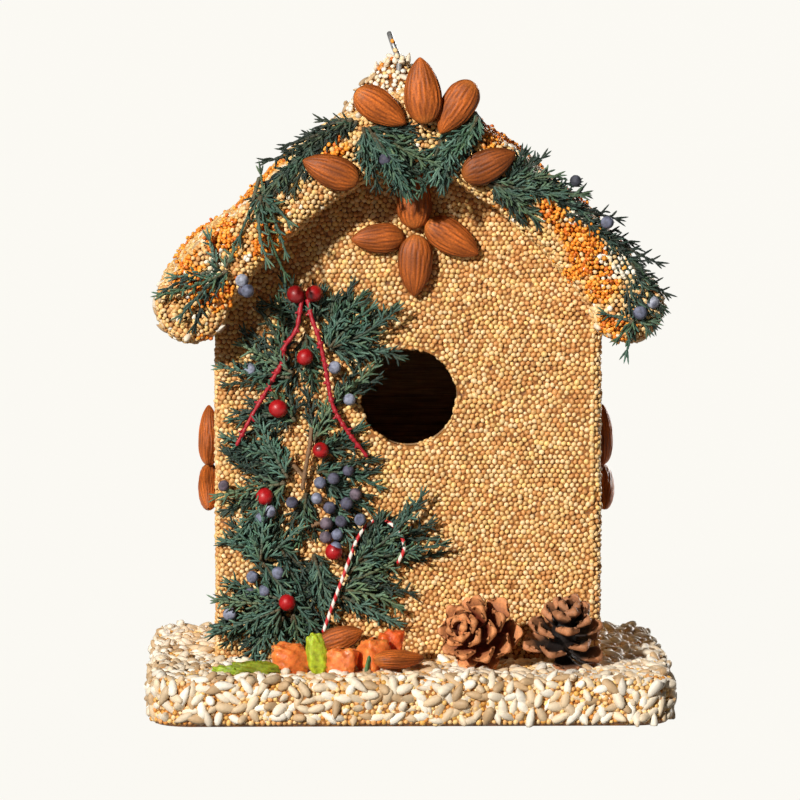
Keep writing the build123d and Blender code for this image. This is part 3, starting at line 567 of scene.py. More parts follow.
BINDER = [(0.3, (96, 54, 16)), (0.52, (150, 94, 36)), (0.75, (188, 132, 62))]
PRESSED = [(0.35, (104, 66, 38)), (0.65, (150, 104, 66))]
MATERIALS = {
    "millet": mottled("millet_husk", 0.10, 1800.0, 0.05, (0.42, 0.62)),
    "safflower": mottled("safflower_shell", 0.08, 900.0, 0.08, (0.45, 0.7)),
    "almond": mottled("almond_skin", 0.22, 1500.0, 0.12, (0.42, 0.64), Specular_IOR_Level=0.3),
    "juniper": mottled("juniper_leaf", 0.22, 2200.0, 0.08, (0.5, 0.75)),
    "red_berry": mottled("red_berry_skin", 0.14, 700.0, 0.06, (0.35, 0.55), Coat_Weight=0.1),
    "blue_berry": mottled("blue_berry_bloom", 0.42, 620.0, 0.12, (0.6, 0.85)),
    "twig": mottled("red_twig_bark", 0.12, 1600.0, 0.1, (0.4, 0.6)),
    "stem": mottled("brown_stem_bark", 0.2, 1600.0, 0.15, (0.6, 0.85)),
    "papaya": mottled(
        "dried_papaya", 0.14, 500.0, 0.35, (0.35, 0.6), Subsurface_Weight=0.35, Coat_Weight=0.15
    ),
    "green_fruit": mottled(
        "dried_green_fruit", 0.2, 600.0, 0.3, (0.4, 0.65), Subsurface_Weight=0.2
    ),
    "cone": mottled("pinecone_scale", 0.2, 1200.0, 0.15, (0.55, 0.8)),
    "bed": one_noise("seed_binder", (420.0, 5.0), BINDER, (0.45, 0.75), 0.8),
    "wood": sawn_wood("sawn_pine"),
    "board": one_noise("pressed_board", (700.0, 6.0, (1.0, 1.4, 1.0)), PRESSED, (0.5, 0.75), 0.08),
    "wire": steel("galvanised_wire", 0.65),
    "screw": steel("zinc_screw", 1.0),
    "cane": cane_stripes("striped_cane"),
}

# -------------------- stage, light, camera

FLOOR_HALF = 30000.0
FLOOR_GLOW = 0.96
FILL_COLOUR, FILL_STRENGTH = (1.0, 0.88, 0.76), 0.03


def pale_floor():
    """A darker floor that glows to the camera and in reflections, so that it looks pale
    and only a faint shadow shows."""
    shader = Shader("pale_floor", Roughness=0.9, Base_Color=linear(98, 88, 75))
    glow = shader.node("ShaderNodeEmission", Strength=1.0, Color=linear(255, 253, 247))
    rays = shader.nodes.new("ShaderNodeLightPath").outputs
    seen = rays["Is Camera Ray"]
    for ray in ("Is Glossy Ray", "Is Transmission Ray"):
        seen = shader.maths("MAXIMUM", seen, rays[ray])
    share = shader.maths("MULTIPLY", seen, FLOOR_GLOW)
    both = shader.blend(share, shader.surface.outputs[0], glow.outputs[0])
    shader.fill(shader.nodes["Material Output"], Surface=both)
    corners = [(x * FLOOR_HALF, y * FLOOR_HALF, 0) for x, y in ((-1, -1), (1, -1), (1, 1), (-1, 1))]
    floor = add_object("floor", new_mesh("floor", corners, [[(0, 1, 2, 3)]]))
    floor.data.materials.append(shader.material)
    floor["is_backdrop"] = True


def pale_room():
    """A pale room to the camera, and a weak warm fill to everything else."""
    world = bpy.data.worlds.new("studio")
    bpy.context.scene.world = world
    graph = Graph(world)
    fill = graph.fill(graph.nodes["Background"], Color=FILL_COLOUR, Strength=FILL_STRENGTH)
    seen = graph.node("ShaderNodeBackground", Color=linear(253, 250, 243))
    rays = graph.nodes.new("ShaderNodeLightPath").outputs
    both = graph.blend(rays["Is Camera Ray"], fill.outputs[0], seen.outputs[0])
    graph.fill(graph.nodes["World Output"], Surface=both)


def sun(name, energy, softness, colour, travel):
    """A far light shining along a direction, soft by so many degrees."""
    light = bpy.data.lights.new(name, "SUN")
    light.energy, light.color = energy, colour
    light.angle = math.radians(softness)
    lamp = add_object(name, light)
    lamp.rotation_euler = Vector(travel).to_track_quat("-Z", "Y").to_euler()


def photo_camera(aim=-3.4, aside=48.0, distance=2094.0, height=297.0, dip=4.83):
    """The photo's camera: it looks at a point in the front plane from a little to its
    left and above, tipped down by so many degrees."""
    camera = bpy.data.cameras.new("camera")
    camera.lens = 243.0
    camera.sensor_width = 36.0
    camera.clip_end = 100.0
    holder = add_object("camera", camera)
    holder.location = ((aim - aside) * MM, (FACE_FRONT - distance) * MM, height * MM)
    holder.rotation_euler = (math.radians(90 - dip), 0.0, -math.atan(aside / distance))
    bpy.context.scene.camera = holder
    bpy.context.scene.view_settings.view_transform = "Standard"


pale_floor()
pale_room()
sun("key", 4.4, 3.0, (1.0, 0.95, 0.88), (0.62, 1.0, -0.53))
sun("back_light", 2.4, 20.0, (1.0, 0.97, 0.93), (-0.62, -1.0, -0.3))
photo_camera()

# -------------------- kept CAD pieces

KEPT = {
    "bed": [f"{side}_seed_coat" for side in ("front", "back", "left", "right", "base")],
    "wood": [
        "base_board", "front_wall", "back_wall", "left_wall", "right_wall",
        "roof_panel_left", "roof_panel_right", "ridge_block",
    ],
    "board": ["cleanout_cover"],
    "screw": ["cleanout_screw"],
}
for kind, nodes in KEPT.items():
    for node in nodes:
        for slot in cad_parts[node].material_slots:
            slot.material = MATERIALS[kind]

# -------------------- millet

# A grain is a low-sided ball: flat below, where it sits in the binder
GRAIN = template([(-0.55, 0), (-0.5, 0.8), (0.1, 1.0), (0.66, 0.72), (0.98, 0)], 8)
# Each grain is darker and browner round its foot: partly the binder's stain, partly painted shade in the
# gaps between grains
GRAIN_FOOT_BINDER_AND_SHADE = shade_where(GRAIN[0][:, 2:3] < -0.2, [0.72, 0.54, 0.32])

MILLET_TINTS = palette(
    (236, 202, 144), (230, 188, 124), (244, 213, 162), (222, 172, 106), (240, 204, 132),
    (212, 154, 92),
)
ORANGE_TINTS = palette((246, 162, 52), (236, 142, 36), (248, 180, 76), (214, 112, 28))
GOLD_TINTS = palette((222, 170, 84), (206, 148, 66), (228, 184, 108), (210, 140, 60))
CREAM_TINTS = palette((246, 238, 218), (238, 222, 190), (250, 246, 234))


def tint_from(tints, count):
    """Tints picked at random, each a little lighter or darker."""
    picked = tints[rng.integers(0, len(tints), count)]
    return picked * rng.normal(1.0, 0.07, (count, 1))


def thinned(places, gap):
    """Numbers of places picked one by one, no two nearer than a gap."""
    taken, cells = [], {}
    for index, key in enumerate(map(tuple, np.floor(places / gap).astype(int))):
        near = (
            other
            for dx in (-1, 0, 1)
            for dy in (-1, 0, 1)
            for dz in (-1, 0, 1)
            for other in cells.get((key[0] + dx, key[1] + dy, key[2] + dz), ())
        )
        if all(np.sum((places[other] - places[index]) ** 2) > gap * gap for other in near):
            taken.append(index)
            cells.setdefault(key, []).append(index)
    return np.array(taken, dtype=int)


def millet(name, places, normals, tints=None, size=1.0):
    """Grains on a surface, each a little different in size, lean and colour."""
    count = len(places)
    if tints is None:
        tints = tint_from(MILLET_TINTS, count)
    axes = frames_on(normals, rng.uniform(0, 2 * np.pi, count), rng.normal(0, 0.25, count))
    sizes = MILLET * size * rng.normal(0.93, 0.09, (count, 1)) * rng.normal(1.0, 0.05, (count, 3))
    lift = rng.normal(0.05, 0.2, (count, 1))
    scatter(name, GRAIN, places + normals * lift, axes, sizes, tints, "millet", GRAIN_FOOT_BINDER_AND_SHADE)


def entrance_rim(turn):
    """The entrance's ragged radius at an angle round it."""
    return ENTRANCE_RADIUS + 0.5 + 0.7 * np.sin(7 * turn + 0.6) + 0.7 * np.sin(12 * turn)


# A normal with more than this along Y is of the front or the back wall
END_FACING = 0.7
# The back's crust has low clumps in rows, each turned by the golden angle
CLUMP_PITCH, CLUMP_HEIGHT, CLUMP_COLUMNS = 17.0, 1.0, 8


def clump_rise(places):
    """How far the back's clumps lift the seed over them."""
    column = np.clip(np.round(3.5 - places[:, 0] / CLUMP_PITCH), 0, CLUMP_COLUMNS - 1)
    row = np.clip(np.round((places[:, 2] - BASE_TOP) / CLUMP_PITCH - 0.6), 0, 11)
    turn = np.radians((column + CLUMP_COLUMNS * row) * GOLDEN_ANGLE)
    across = -places[:, 0] - (column - 3.5) * CLUMP_PITCH
    up = places[:, 2] - BASE_TOP - (row + 0.6) * CLUMP_PITCH
    along = (across * np.cos(turn) + up * np.sin(turn)) / 4.5
    aside = (up * np.cos(turn) - across * np.sin(turn)) / 2.5
    return CLUMP_HEIGHT * np.clip((1.5 - np.hypot(along, aside)) / 0.6, 0, 1)


def wall_millet():
    """Millet round the four walls, up to the roof, clear of the entrance."""
    half_y = (FACE_BACK - FACE_FRONT) / 2
    outline, length = rounded_outline(FACE_SIDE, half_y, FACE_MIDDLE, WALL_CORNER)
    top = arc_height(SOFFIT_RADIUS, 0.0) + 2
    spots = packed(length, top - BASE_TOP, MILLET_PITCH)
    plan, facing = outline(spots[:, 0])
    height = BASE_TOP + spots[:, 1]
    places = np.column_stack([plan, height])
    normals = np.column_stack([facing, np.zeros(len(plan))])
    under = height < arc_height(SOFFIT_RADIUS, plan[:, 0]) + 1.0
    from_hole = np.hypot(plan[:, 0], height - ENTRANCE_HEIGHT)
    turn = np.arctan2(height - ENTRANCE_HEIGHT, plan[:, 0])
    open_front = (plan[:, 1] < FACE_FRONT + WALL_CORNER) & (from_hole < entrance_rim(turn) + 1.0)
    kept = under & ~open_front
    places, normals = places[kept], normals[kept]
    places += normals * lumps(places, 14.0)[:, None] * 0.25
    at_back = normals[:, 1] > END_FACING
    places += normals * np.where(at_back, clump_rise(places), 0.0)[:, None]
    flank = np.abs(normals[:, 1]) <= END_FACING
    sides = {
        "front": normals[:, 1] < -END_FACING,
        "back": normals[:, 1] > END_FACING,
        "left": flank & (normals[:, 0] < 0),
        "right": flank & (normals[:, 0] > 0),
    }
    for side, mask in sides.items():
        millet(f"{side}_millet", places[mask], normals[mask])


# -------------------- roof

def entrance_millet(depth=8.0):
    """Millet inside the mouth of the entrance."""
    spots = packed(2 * np.pi * ENTRANCE_RADIUS, depth, MILLET_PITCH)
    turn = spots[:, 0] / ENTRANCE_RADIUS
    radius = np.maximum(entrance_rim(turn), ENTRANCE_RADIUS) + 0.25
    across, up = radius * np.cos(turn), ENTRANCE_HEIGHT + radius * np.sin(turn)
    places = xyz(across, FACE_FRONT + 0.3 + spots[:, 1], up)
    normals = xyz(-np.cos(turn), -0.25, -np.sin(turn))
    millet("entrance_millet", places, unit(normals))
# Radius of the roof's rounded edges, and the most that seed on them leans over
EDGE_ROUND = 6.5
STEEPEST = 0.98


def edge_inset(distance):
    """How far a rounded edge falls back this far from it, and the lean of its face."""
    short = np.clip(EDGE_ROUND - distance, 0, EDGE_ROUND)
    return EDGE_ROUND - np.sqrt(EDGE_ROUND**2 - short**2 + 1e-9), short / EDGE_ROUND


# Patches of orange and of white seed on the roof, as (side, angle down the slope, depth
# under its top, distance back from the front, radius, kind)
ROOF_PATCHES = [
    (-1, 57.0, 4.0, 0.0, 8.0, "orange"), (-1, 50.0, 3.0, 0.0, 3.0, "orange"),
    (-1, 41.0, 0.5, 0.0, 8.0, "orange"), (-1, 36.5, 0.0, 0.0, 7.5, "orange"),
    (-1, 44.5, 16.0, 0.0, 8.0, "orange"), (-1, 35.5, 18.0, 0.0, 7.0, "orange"),
    (-1, 27.0, 22.0, 0.0, 6.0, "orange"), (-1, 53.0, 3.0, 6.0, 6.0, "cream"),
    (-1, 38.5, 10.0, 0.0, 5.0, "cream"), (1, 58.0, 1.0, 3.0, 4.5, "orange"),
    (1, 47.0, 7.0, 0.0, 7.0, "orange"), (1, 43.5, 9.0, 0.0, 7.0, "orange"),
    (1, 40.0, 13.0, 0.0, 7.5, "orange"), (1, 36.5, 15.0, 0.0, 7.5, "orange"),
    (1, 31.0, 20.0, 0.0, 5.0, "orange"), (1, 37.5, 5.0, 0.0, 5.5, "cream"),
    (1, 45.0, 1.0, 1.0, 5.0, "cream"), (1, 53.0, 0.0, 6.0, 8.0, "cream"),
    (1, 57.0, 0.0, 40.0, 14.0, "orange"), (-1, 48.0, 0.0, 55.0, 15.0, "orange"),
    (1, 42.0, 0.0, 75.0, 15.0, "orange"), (-1, 58.0, 0.0, 95.0, 15.0, "cream"),
    (1, 52.0, 0.0, 112.0, 12.0, "orange"), (-1, 38.0, 0.0, 108.0, 12.0, "orange"),
]


def roof_tints(places):
    """Mostly millet, turning orange or white in patches, and which seeds are orange."""
    count = len(places)
    tints = tint_from(MILLET_TINTS, count)
    orange = np.zeros(count, dtype=bool)
    ragged = rng.normal(0, 1.2, count) + 2.6 * lumps(places, 5.0)
    for side, angle, depth, back, radius, kind in ROOF_PATCHES:
        x, z = on_slope(angle, depth - crust_relief(side, angle))
        centre = np.array([side * x, ROOF_FRONT + back, z])
        apart = np.linalg.norm(places - centre, axis=1) * (1 + 0.4 * lumps(places, 7.0))
        inside = apart + ragged < radius
        chosen = inside & (rng.random(count) < 0.88)
        palette = ORANGE_TINTS if kind == "orange" else CREAM_TINTS
        tints[chosen] = tint_from(palette, chosen.sum())
        orange[chosen] = kind == "orange"
    stray = rng.random(count)
    strays, cream = stray < 0.015, stray > 0.975
    tints[strays] = tint_from(ORANGE_TINTS, strays.sum())
    tints[cream] = tint_from(CREAM_TINTS, cream.sum())
    return tints, orange


# The orange seed's size beside the millet's, how many are tried for each grain of a
# patch, and how far apart they stay
SMALL_SEED = 0.74
SMALL_SEEDS_EACH, SMALL_SEED_GAP = 3, 1.1


def roof_seed(name, places, normals):
    """Seed on a part of the roof, its orange patches of smaller seed heaped up."""
    places += normals * lumps(places, 8.0)[:, None] * 0.6
    tints, orange = roof_tints(places)
    millet(f"{name}_millet", places, normals, tints)
    if not orange.any():
        return
    heaps = np.repeat(places[orange], SMALL_SEEDS_EACH, axis=0)
    facing = np.repeat(normals[orange], SMALL_SEEDS_EACH, axis=0)
    count = len(heaps)
    heaps = heaps + rng.normal(0, 0.55, (count, 3)) + facing * rng.uniform(0.1, 1.3, (count, 1))
    apart = thinned(heaps, SMALL_SEED_GAP)
    small = tint_from(ORANGE_TINTS, len(apart))
    millet(f"{name}_small_seed", heaps[apart], facing[apart], small, SMALL_SEED)


# The bed lies this deep under the seed and is this uneven. Its end rings draw in this far
BED_SINK, BED_RELIEF = 0.35, 0.6
BED_END_INSET = 7.8
def roof_bed_stops():
    """Where along Y the bed has its rings, and how far each is drawn in."""
    ease = [EDGE_ROUND * (1 - math.cos(math.radians(15 * k))) for k in range(7)]
    end = [(0.0, BED_END_INSET)] + [(e, edge_inset(e)[0]) for e in ease]
    front, back = ROOF_FRONT + BED_SINK, ROOF_BACK - BED_SINK
    run = set(np.linspace(front + EDGE_ROUND, back - EDGE_ROUND, 48)[1:-1])
    run |= {FACE_FRONT + 1.0, FACE_FRONT + 2.0, FACE_BACK - 2.0, FACE_BACK - 1.0}
    stops = [(front + e, inset) for e, inset in end] + [(y, 0.0) for y in sorted(run)]
    return stops + [(back - e, inset) for e, inset in reversed(end)]


def lifted_indoors(section, sides, inside=72.0, panel=181.0):
    """A section with its soffit kept up inside the wooden panels, between the walls."""
    centre = sides[:, None] * [ROOF_OFFSET, 0] - [0, ROOF_CENTRE]
    from_centre = section + centre
    reach = np.linalg.norm(from_centre, axis=1, keepdims=True)
    lifted = from_centre * np.maximum(reach, panel) / reach - centre
    return np.where(np.abs(section[:, :1]) < inside, lifted, section)


def roof_bed():
    """The binder under the roof's seed: one closed shell with rounded ends that keeps
    to the wooden panels inside the walls."""
    right, right_facing = (np.array(row) for row in roof_profile(1))
    left, left_facing = (np.array(row)[::-1][1:-1] * [-1, 1] for row in roof_profile(-1))
    whole = np.concatenate([right, left])
    facing = np.concatenate([right_facing, left_facing])
    sides = np.concatenate([np.ones(len(right)), -np.ones(len(left))])
    rings = []
    for y, inset in roof_bed_stops():
        section = whole - facing * (BED_SINK + inset)
        x = section[:, 0]
        section[:, 0] = np.where(sides > 0, np.maximum(x, 0), np.minimum(x, 0))
        if FACE_FRONT + 1.5 < y < FACE_BACK - 1.5:
            section = lifted_indoors(section, sides)
        ring = xyz(section[:, 0], y, section[:, 1])
        swell = BED_RELIEF * lumps(ring, 8.0)
        if inset < EDGE_ROUND:
            ring[:, [0, 2]] += swell[:, None] * facing
        else:
            ring[:, 1] += np.where(y < 0, -swell, swell)
        rings.append(ring)
    each = len(whole)
    quads = ring_faces(len(rings), each)
    caps = [np.arange(each)[None, :], (np.arange(each)[::-1] + (len(rings) - 1) * each)[None, :]]
    mesh = new_mesh("roof_bed", np.concatenate(rings), [quads, *caps])
    mesh.flip_normals()
    coats = ("roof_seed_coat_left", "roof_seed_coat_right")
    piece("roof_bed", mesh, "bed", coats)


def band_depth(x, z):
    """How far inside the roof's end face a point lies, from the nearest edge."""
    radial = np.hypot(np.abs(x) + ROOF_OFFSET, z - ROOF_CENTRE)
    angle = np.degrees(np.arctan2(z - ROOF_CENTRE, np.abs(x) + ROOF_OFFSET))
    top = ROOF_RADIUS + np.where(x < 0, crust_relief(-1, angle), crust_relief(1, angle))
    in_band = np.minimum(top - radial, radial - SOFFIT_RADIUS)
    in_band = np.where(angle > EAVE_ANGLE, in_band, -9.0)
    bulb = on_slope(EAVE_ANGLE, (ROOF_RADIUS - SOFFIT_RADIUS) / 2)
    in_bulb = BULB_RADIUS - np.hypot(np.abs(x) - bulb[0], z - bulb[1])
    return np.maximum(in_band, in_bulb)


def slope_seed(side, name):
    """Seed over one slope's top, eave and soffit."""
    outline, length = path_along(*roof_profile(side))
    spots = packed(length, ROOF_BACK - ROOF_FRONT, MILLET_PITCH)
    section, facing = outline(spots[:, 0])
    y = ROOF_FRONT + spots[:, 1]
    inset, lean = edge_inset(np.minimum(y - ROOF_FRONT, ROOF_BACK - y))
    section = section - facing * inset[:, None]
    outward = np.where(y < 0, -1.0, 1.0) * lean
    flat = np.sqrt(1 - np.clip(lean, 0, STEEPEST) ** 2)
    normals = unit(xyz(side * facing[:, 0] * flat, outward, facing[:, 1] * flat))
    places = xyz(side * section[:, 0], y, section[:, 1])
    radial = np.hypot(section[:, 0] + ROOF_OFFSET, section[:, 1] - ROOF_CENTRE)
    indoors = (section[:, 0] < FACE_SIDE + 0.5) & (y > FACE_FRONT - 0.5) & (y < FACE_BACK + 0.5)
    kept = ~(indoors & (radial < 180.0)) & (section[:, 0] > -0.2)
    roof_seed(f"roof_{name}", places[kept], normals[kept])


def end_seed(y, facing, name, low_x=-100.0, low_z=140.0):
    """Seed over the roof's end face at the front or the back."""
    spots = packed(-2 * low_x, ROOF_APEX - low_z, MILLET_PITCH)
    x, z = low_x + spots[:, 0], low_z + spots[:, 1]
    edge = band_depth(x, z)
    kept = edge > 0.4
    x, z, edge = x[kept], z[kept], edge[kept]
    step = 0.2
    across = band_depth(x + step, z) - band_depth(x - step, z)
    up = band_depth(x, z + step) - band_depth(x, z - step)
    slope = unit(np.column_stack([across, up]))
    inset, lean = edge_inset(edge)
    lean = np.clip(lean, 0, STEEPEST)
    places = xyz(x, y - facing * inset, z)
    normals = unit(xyz(-slope[:, 0] * lean, facing * np.sqrt(1 - lean**2), -slope[:, 1] * lean))
    roof_seed(f"roof_{name}_face", places, normals)


def roof_millet():
    """Millet over the roof's top, eaves and soffit, and on both end faces."""
    slope_seed(-1, "left")
    slope_seed(1, "right")
    end_seed(ROOF_FRONT, -1.0, "front")
    end_seed(ROOF_BACK, 1.0, "back")


# -------------------- larger seed

# A shelled safflower or sunflower kernel lies along X: blunt at one end, pointed at the other
KERNEL = template(
    [(-1.0, 0), (-0.95, 0.45), (-0.7, 0.85), (-0.3, 1.0), (0.1, 0.92), (0.5, 0.66), (0.84, 0.3), (1.0, 0)], 7
)
KERNEL = (KERNEL[0][:, [2, 1, 0]] * [1, 1, -1], KERNEL[1])
KERNEL_SHADE = shade_where(KERNEL[0][:, :1] > 0.8, [0.72, 0.66, 0.58])
KERNEL_TINTS = palette(
    (234, 222, 202), (224, 206, 178), (244, 238, 224), (212, 188, 154), (232, 219, 197),
    (194, 164, 126), (240, 233, 219),
)


def kernels(name, places, normals, stand=0.3, size=1.0, lift=(0.9, 0.5)):
    """Large pale seed strewn on a surface, lying every way."""
    count = len(places)
    axes = frames_on(
        normals, rng.uniform(0, 2 * np.pi, count), np.clip(rng.normal(0, stand, count), -0.9, 0.9)
    )
    half = np.array([3.9, 1.8, 1.5]) * size
    sizes = half * rng.normal(1.0, 0.11, (count, 1)) * rng.normal(1.0, 0.07, (count, 3))
    raised = places + normals * rng.normal(lift[0], lift[1], (count, 1))
    low = raised[:, 2] - 1.6
    raised[:, 2] -= np.minimum(low, 0)
    tints = tint_from(KERNEL_TINTS, count)
    scatter(name, KERNEL, raised, axes, sizes, tints, "safflower", KERNEL_SHADE)


BASE_RIM = 3.5
BASE_HALF_X, BASE_HALF_Y = (base_high[:2] - base_low[:2]) / 2
KERNEL_PITCH = 4.2
def gold_millet(name, places, normals):
    """Millet on the base, a good part of it golden."""
    tints = tint_from(MILLET_TINTS, len(places))
    gold = rng.random(len(places)) < 0.4
    tints[gold] = tint_from(GOLD_TINTS, gold.sum())
    millet(name, places, normals, tints)


def base_edge(pitch):
    """Places up the base's edge and over its rounded rim, and the way each faces."""
    outline, length = rounded_outline(BASE_HALF_X, BASE_HALF_Y, 0.0, BASE_CORNER)
    side_run = BASE_TOP - BASE_RIM
    spots = packed(length, side_run + BASE_RIM * math.pi / 2, pitch)
    plan, facing = outline(spots[:, 0])
    over = np.clip((spots[:, 1] - side_run) / BASE_RIM, 0, math.pi / 2)
    height = np.minimum(spots[:, 1], side_run) + BASE_RIM * np.sin(over)
    plan = plan - facing * (BASE_RIM * (1 - np.cos(over)))[:, None]
    places = np.column_stack([plan, height])
    normals = np.column_stack([facing * np.cos(over)[:, None], np.sin(over)])
    kept = height > 0.8
    places, normals = places[kept], normals[kept]
    return places + normals * (lumps(places)[:, None] * 0.5 - 0.2), normals


def base_top(pitch):
    """Places over the base's top, outside the walls, and their upward normals."""
    spots = packed(2 * BASE_HALF_X, 2 * BASE_HALF_Y, pitch)
    x, y = spots[:, 0] - BASE_HALF_X, spots[:, 1] - BASE_HALF_Y
    corner_x = np.maximum(np.abs(x) - (BASE_HALF_X - BASE_CORNER), 0)
    corner_y = np.maximum(np.abs(y) - (BASE_HALF_Y - BASE_CORNER), 0)
    on_top = np.hypot(corner_x, corner_y) < BASE_CORNER - BASE_RIM
    on_top &= (np.abs(x) < BASE_HALF_X - BASE_RIM) & (np.abs(y) < BASE_HALF_Y - BASE_RIM)
    kept = on_top & ~by_house(x, y, -1.0)
    places = xyz(x[kept], y[kept], BASE_TOP)
    normals = np.tile([0.0, 0.0, 1.0], (len(places), 1))
    return places + normals * lumps(places)[:, None] * 0.5, normals


def by_house(x, y, margin):
    """Which places lie within the walls' outline, widened by a margin."""
    between = (y > FACE_FRONT - margin) & (y < FACE_BACK + margin)
    return (np.abs(x) < FACE_SIDE + margin) & between


def base_seed():
    """The base's crust: millet, then large pale seed packed over its edge and top."""
    gold_millet("base_edge_millet", *base_edge(MILLET_PITCH))
    gold_millet("base_top_millet", *base_top(MILLET_PITCH))
    places, normals = base_edge(KERNEL_PITCH)
    kernels("base_edge_kernels", places, normals, stand=0.4, lift=(0.3, 0.6))
    places, normals = base_top(KERNEL_PITCH)
    clear = ~by_house(places[:, 0], places[:, 1], 2.5)
    kernels("base_top_kernels", places[clear], normals[clear], lift=(0.0, 0.5))


def roof_kernels(count=65):
    """So many large pale seeds a side, along the eaves and the top of the roof."""
    for side, name in ((-1, "left"), (1, "right")):
        outline, length = path_along(*roof_profile(side))
        along = np.clip(rng.normal(0.5, 0.12, count) * length, 4.0, length * 0.62)
        along[: count // 3] = rng.uniform(8.0, length * 0.45, count // 3)
        y = rng.uniform(ROOF_FRONT + 1.5, ROOF_BACK - 3.0, count)
        y[::3] = ROOF_FRONT + rng.uniform(1.0, 12.0, len(y[::3]))
        section, facing = outline(along)
        inset, _ = edge_inset(np.minimum(y - ROOF_FRONT, ROOF_BACK - y))
        section = section - facing * inset[:, None]
        places = xyz(side * section[:, 0], y, section[:, 1])
        normals = xyz(side * facing[:, 0], 0.0, facing[:, 1])
        kernels(f"roof_kernels_{name}", places, normals, size=0.72, lift=(0.3, 0.3))


# The heap's (radius, height over its foot) and the way its side faces there. It is cut
# short on the right, beside the nuts
HEAP = [
    (20.5, 0.0), (17.8, 3.7), (14.6, 8.0), (11.5, 11.7), (8.4, 15.8), (5.5, 18.9), (2.5, 20.5), (0.4, 21.0),
]
HEAP_RIGHT = 0.6
HEAP_MILLET_GAP, HEAP_KERNEL_GAP = 1.75, 5.0
HEAP_NORMALS = [
    (1.0, 0.3), (0.9, 0.5), (0.88, 0.52), (0.85, 0.55), (0.8, 0.6), (0.6, 0.8), (0.3, 0.95), (0.0, 1.0),
]


def heap_bed(foot):
    """The binder under the heap, half a millimetre inside its seed."""
    sides = [(foot + rise, radius - 0.5) for radius, rise in HEAP[:-1]]
    bed, faces = lathe([(foot, 0), *sides, (foot + HEAP[-1][1] - 0.5, 0)], 40)
    bed[:, 0] *= np.where(bed[:, 0] > 0, HEAP_RIGHT, 1.0)
    bed[:, :2] += [HANGER_X, HANGER_Y]
    mesh = new_mesh("ridge_heap_bed", bed, faces)
    piece("ridge_heap_bed", mesh, "bed", ("ridge_mound",))


def heap_places(foot, tries=9000):
    """Places all over the heap, above the roof, and the way each faces."""
    outline, length = path_along([(radius, foot + rise) for radius, rise in HEAP], HEAP_NORMALS)
    section, facing = outline(length * rng.random(tries))
    keep = rng.random(tries) < section[:, 0] / HEAP[0][0]
    turn = rng.uniform(0, 2 * np.pi, tries)
    squeeze = np.where(np.cos(turn) > 0, HEAP_RIGHT, 1.0)
    across = HANGER_X + section[:, 0] * np.cos(turn) * squeeze
    places = xyz(across, HANGER_Y + section[:, 0] * np.sin(turn), section[:, 1])
    facings = xyz(facing[:, 0] * np.cos(turn), facing[:, 0] * np.sin(turn), facing[:, 1])
    keep &= places[:, 2] > arc_height(ROOF_RADIUS, places[:, 0]) - 1.5
    return places[keep], facings[keep]


def ridge_heap():
    """Pale seed heaped round the hanger at the ridge, on a bed of its own."""
    foot = mm_box("ridge_mound")[0][2]
    heap_bed(foot)
    places, facings = heap_places(foot)
    chosen = thinned(places, HEAP_MILLET_GAP)
    spots, ups = places[chosen], unit(facings[chosen])
    tints = tint_from(CREAM_TINTS, len(spots))
    picked = rng.random(len(spots))
    tints[picked < 0.2] = tint_from(MILLET_TINTS, (picked < 0.2).sum())
    tints[picked > 0.9] = tint_from(ORANGE_TINTS, (picked > 0.9).sum())
    millet("ridge_heap_millet", spots + ups * 0.1, ups, tints)
    chosen = thinned(places, HEAP_KERNEL_GAP)
    spots, ups = places[chosen], unit(facings[chosen])
    kernels("ridge_heap_kernels", spots, ups, stand=0.5, size=0.68)


wall_millet()
entrance_millet()
roof_bed()
roof_millet()
base_seed()
roof_kernels()
ridge_heap()

# -------------------- faces to dress


class Face:
    """A flat face of the house: a point on it and its across, up and outward axes."""

    def __init__(self, origin, across, up, out):
        self.origin = np.array(origin, dtype=float)
        self.axes = np.array([across, up, out], dtype=float)

    def spot(self, u, v, out=0.0):
        return self.origin + np.array([u, v, out]) @ self.axes

    def spots(self, places):
        return [self.spot(*place) for place in places]

    def turned(self, turn):
        """Axes as columns, the first one turned this many degrees in the face."""
        angle = math.radians(turn)
        first = self.axes[0] * math.cos(angle) + self.axes[1] * math.sin(angle)
        return np.stack([first, np.cross(self.axes[2], first), self.axes[2]], axis=1)


GABLE = Face((0, FACE_FRONT, 0), (1, 0, 0), (0, 0, 1), (0, -1, 0))
ROOF_END = Face((0, ROOF_FRONT, 0), (1, 0, 0), (0, 0, 1), (0, -1, 0))
LEFT = Face((-FACE_SIDE, 0, 0), (0, -1, 0), (0, 0, 1), (-1, 0, 0))
RIGHT = Face((FACE_SIDE, 0, 0), (0, 1, 0), (0, 0, 1), (1, 0, 0))
BASE = Face((0, 0, BASE_TOP), (1, 0, 0), (0, 1, 0), (0, 0, 1))


def grid_cell(uvs, index, count):
    """UVs moved into one of several cells side by side."""
    return (uvs * [0.96, 1.0] + [index + 0.02, 0.0]) / [count, 1.0]


def joined(name, parts, material, replaces=()):
    """One piece from (points, faces, colours, UVs) parts, with their UVs side by side."""
    points, faces, colours, uvs = zip(*parts)
    starts = np.cumsum([0, *map(len, points[:-1])])
    quads = np.concatenate([own + start for own, start in zip(faces, starts)])
    tints = [np.broadcast_to(colour, (len(own), 3)) for colour, own in zip(colours, points)]
    cells = np.concatenate([grid_cell(own, index, len(parts)) for index, own in enumerate(uvs)])
    mesh = new_mesh(name, np.concatenate(points), [quads], np.concatenate(tints), cells)
    piece(name, mesh, material, replaces)


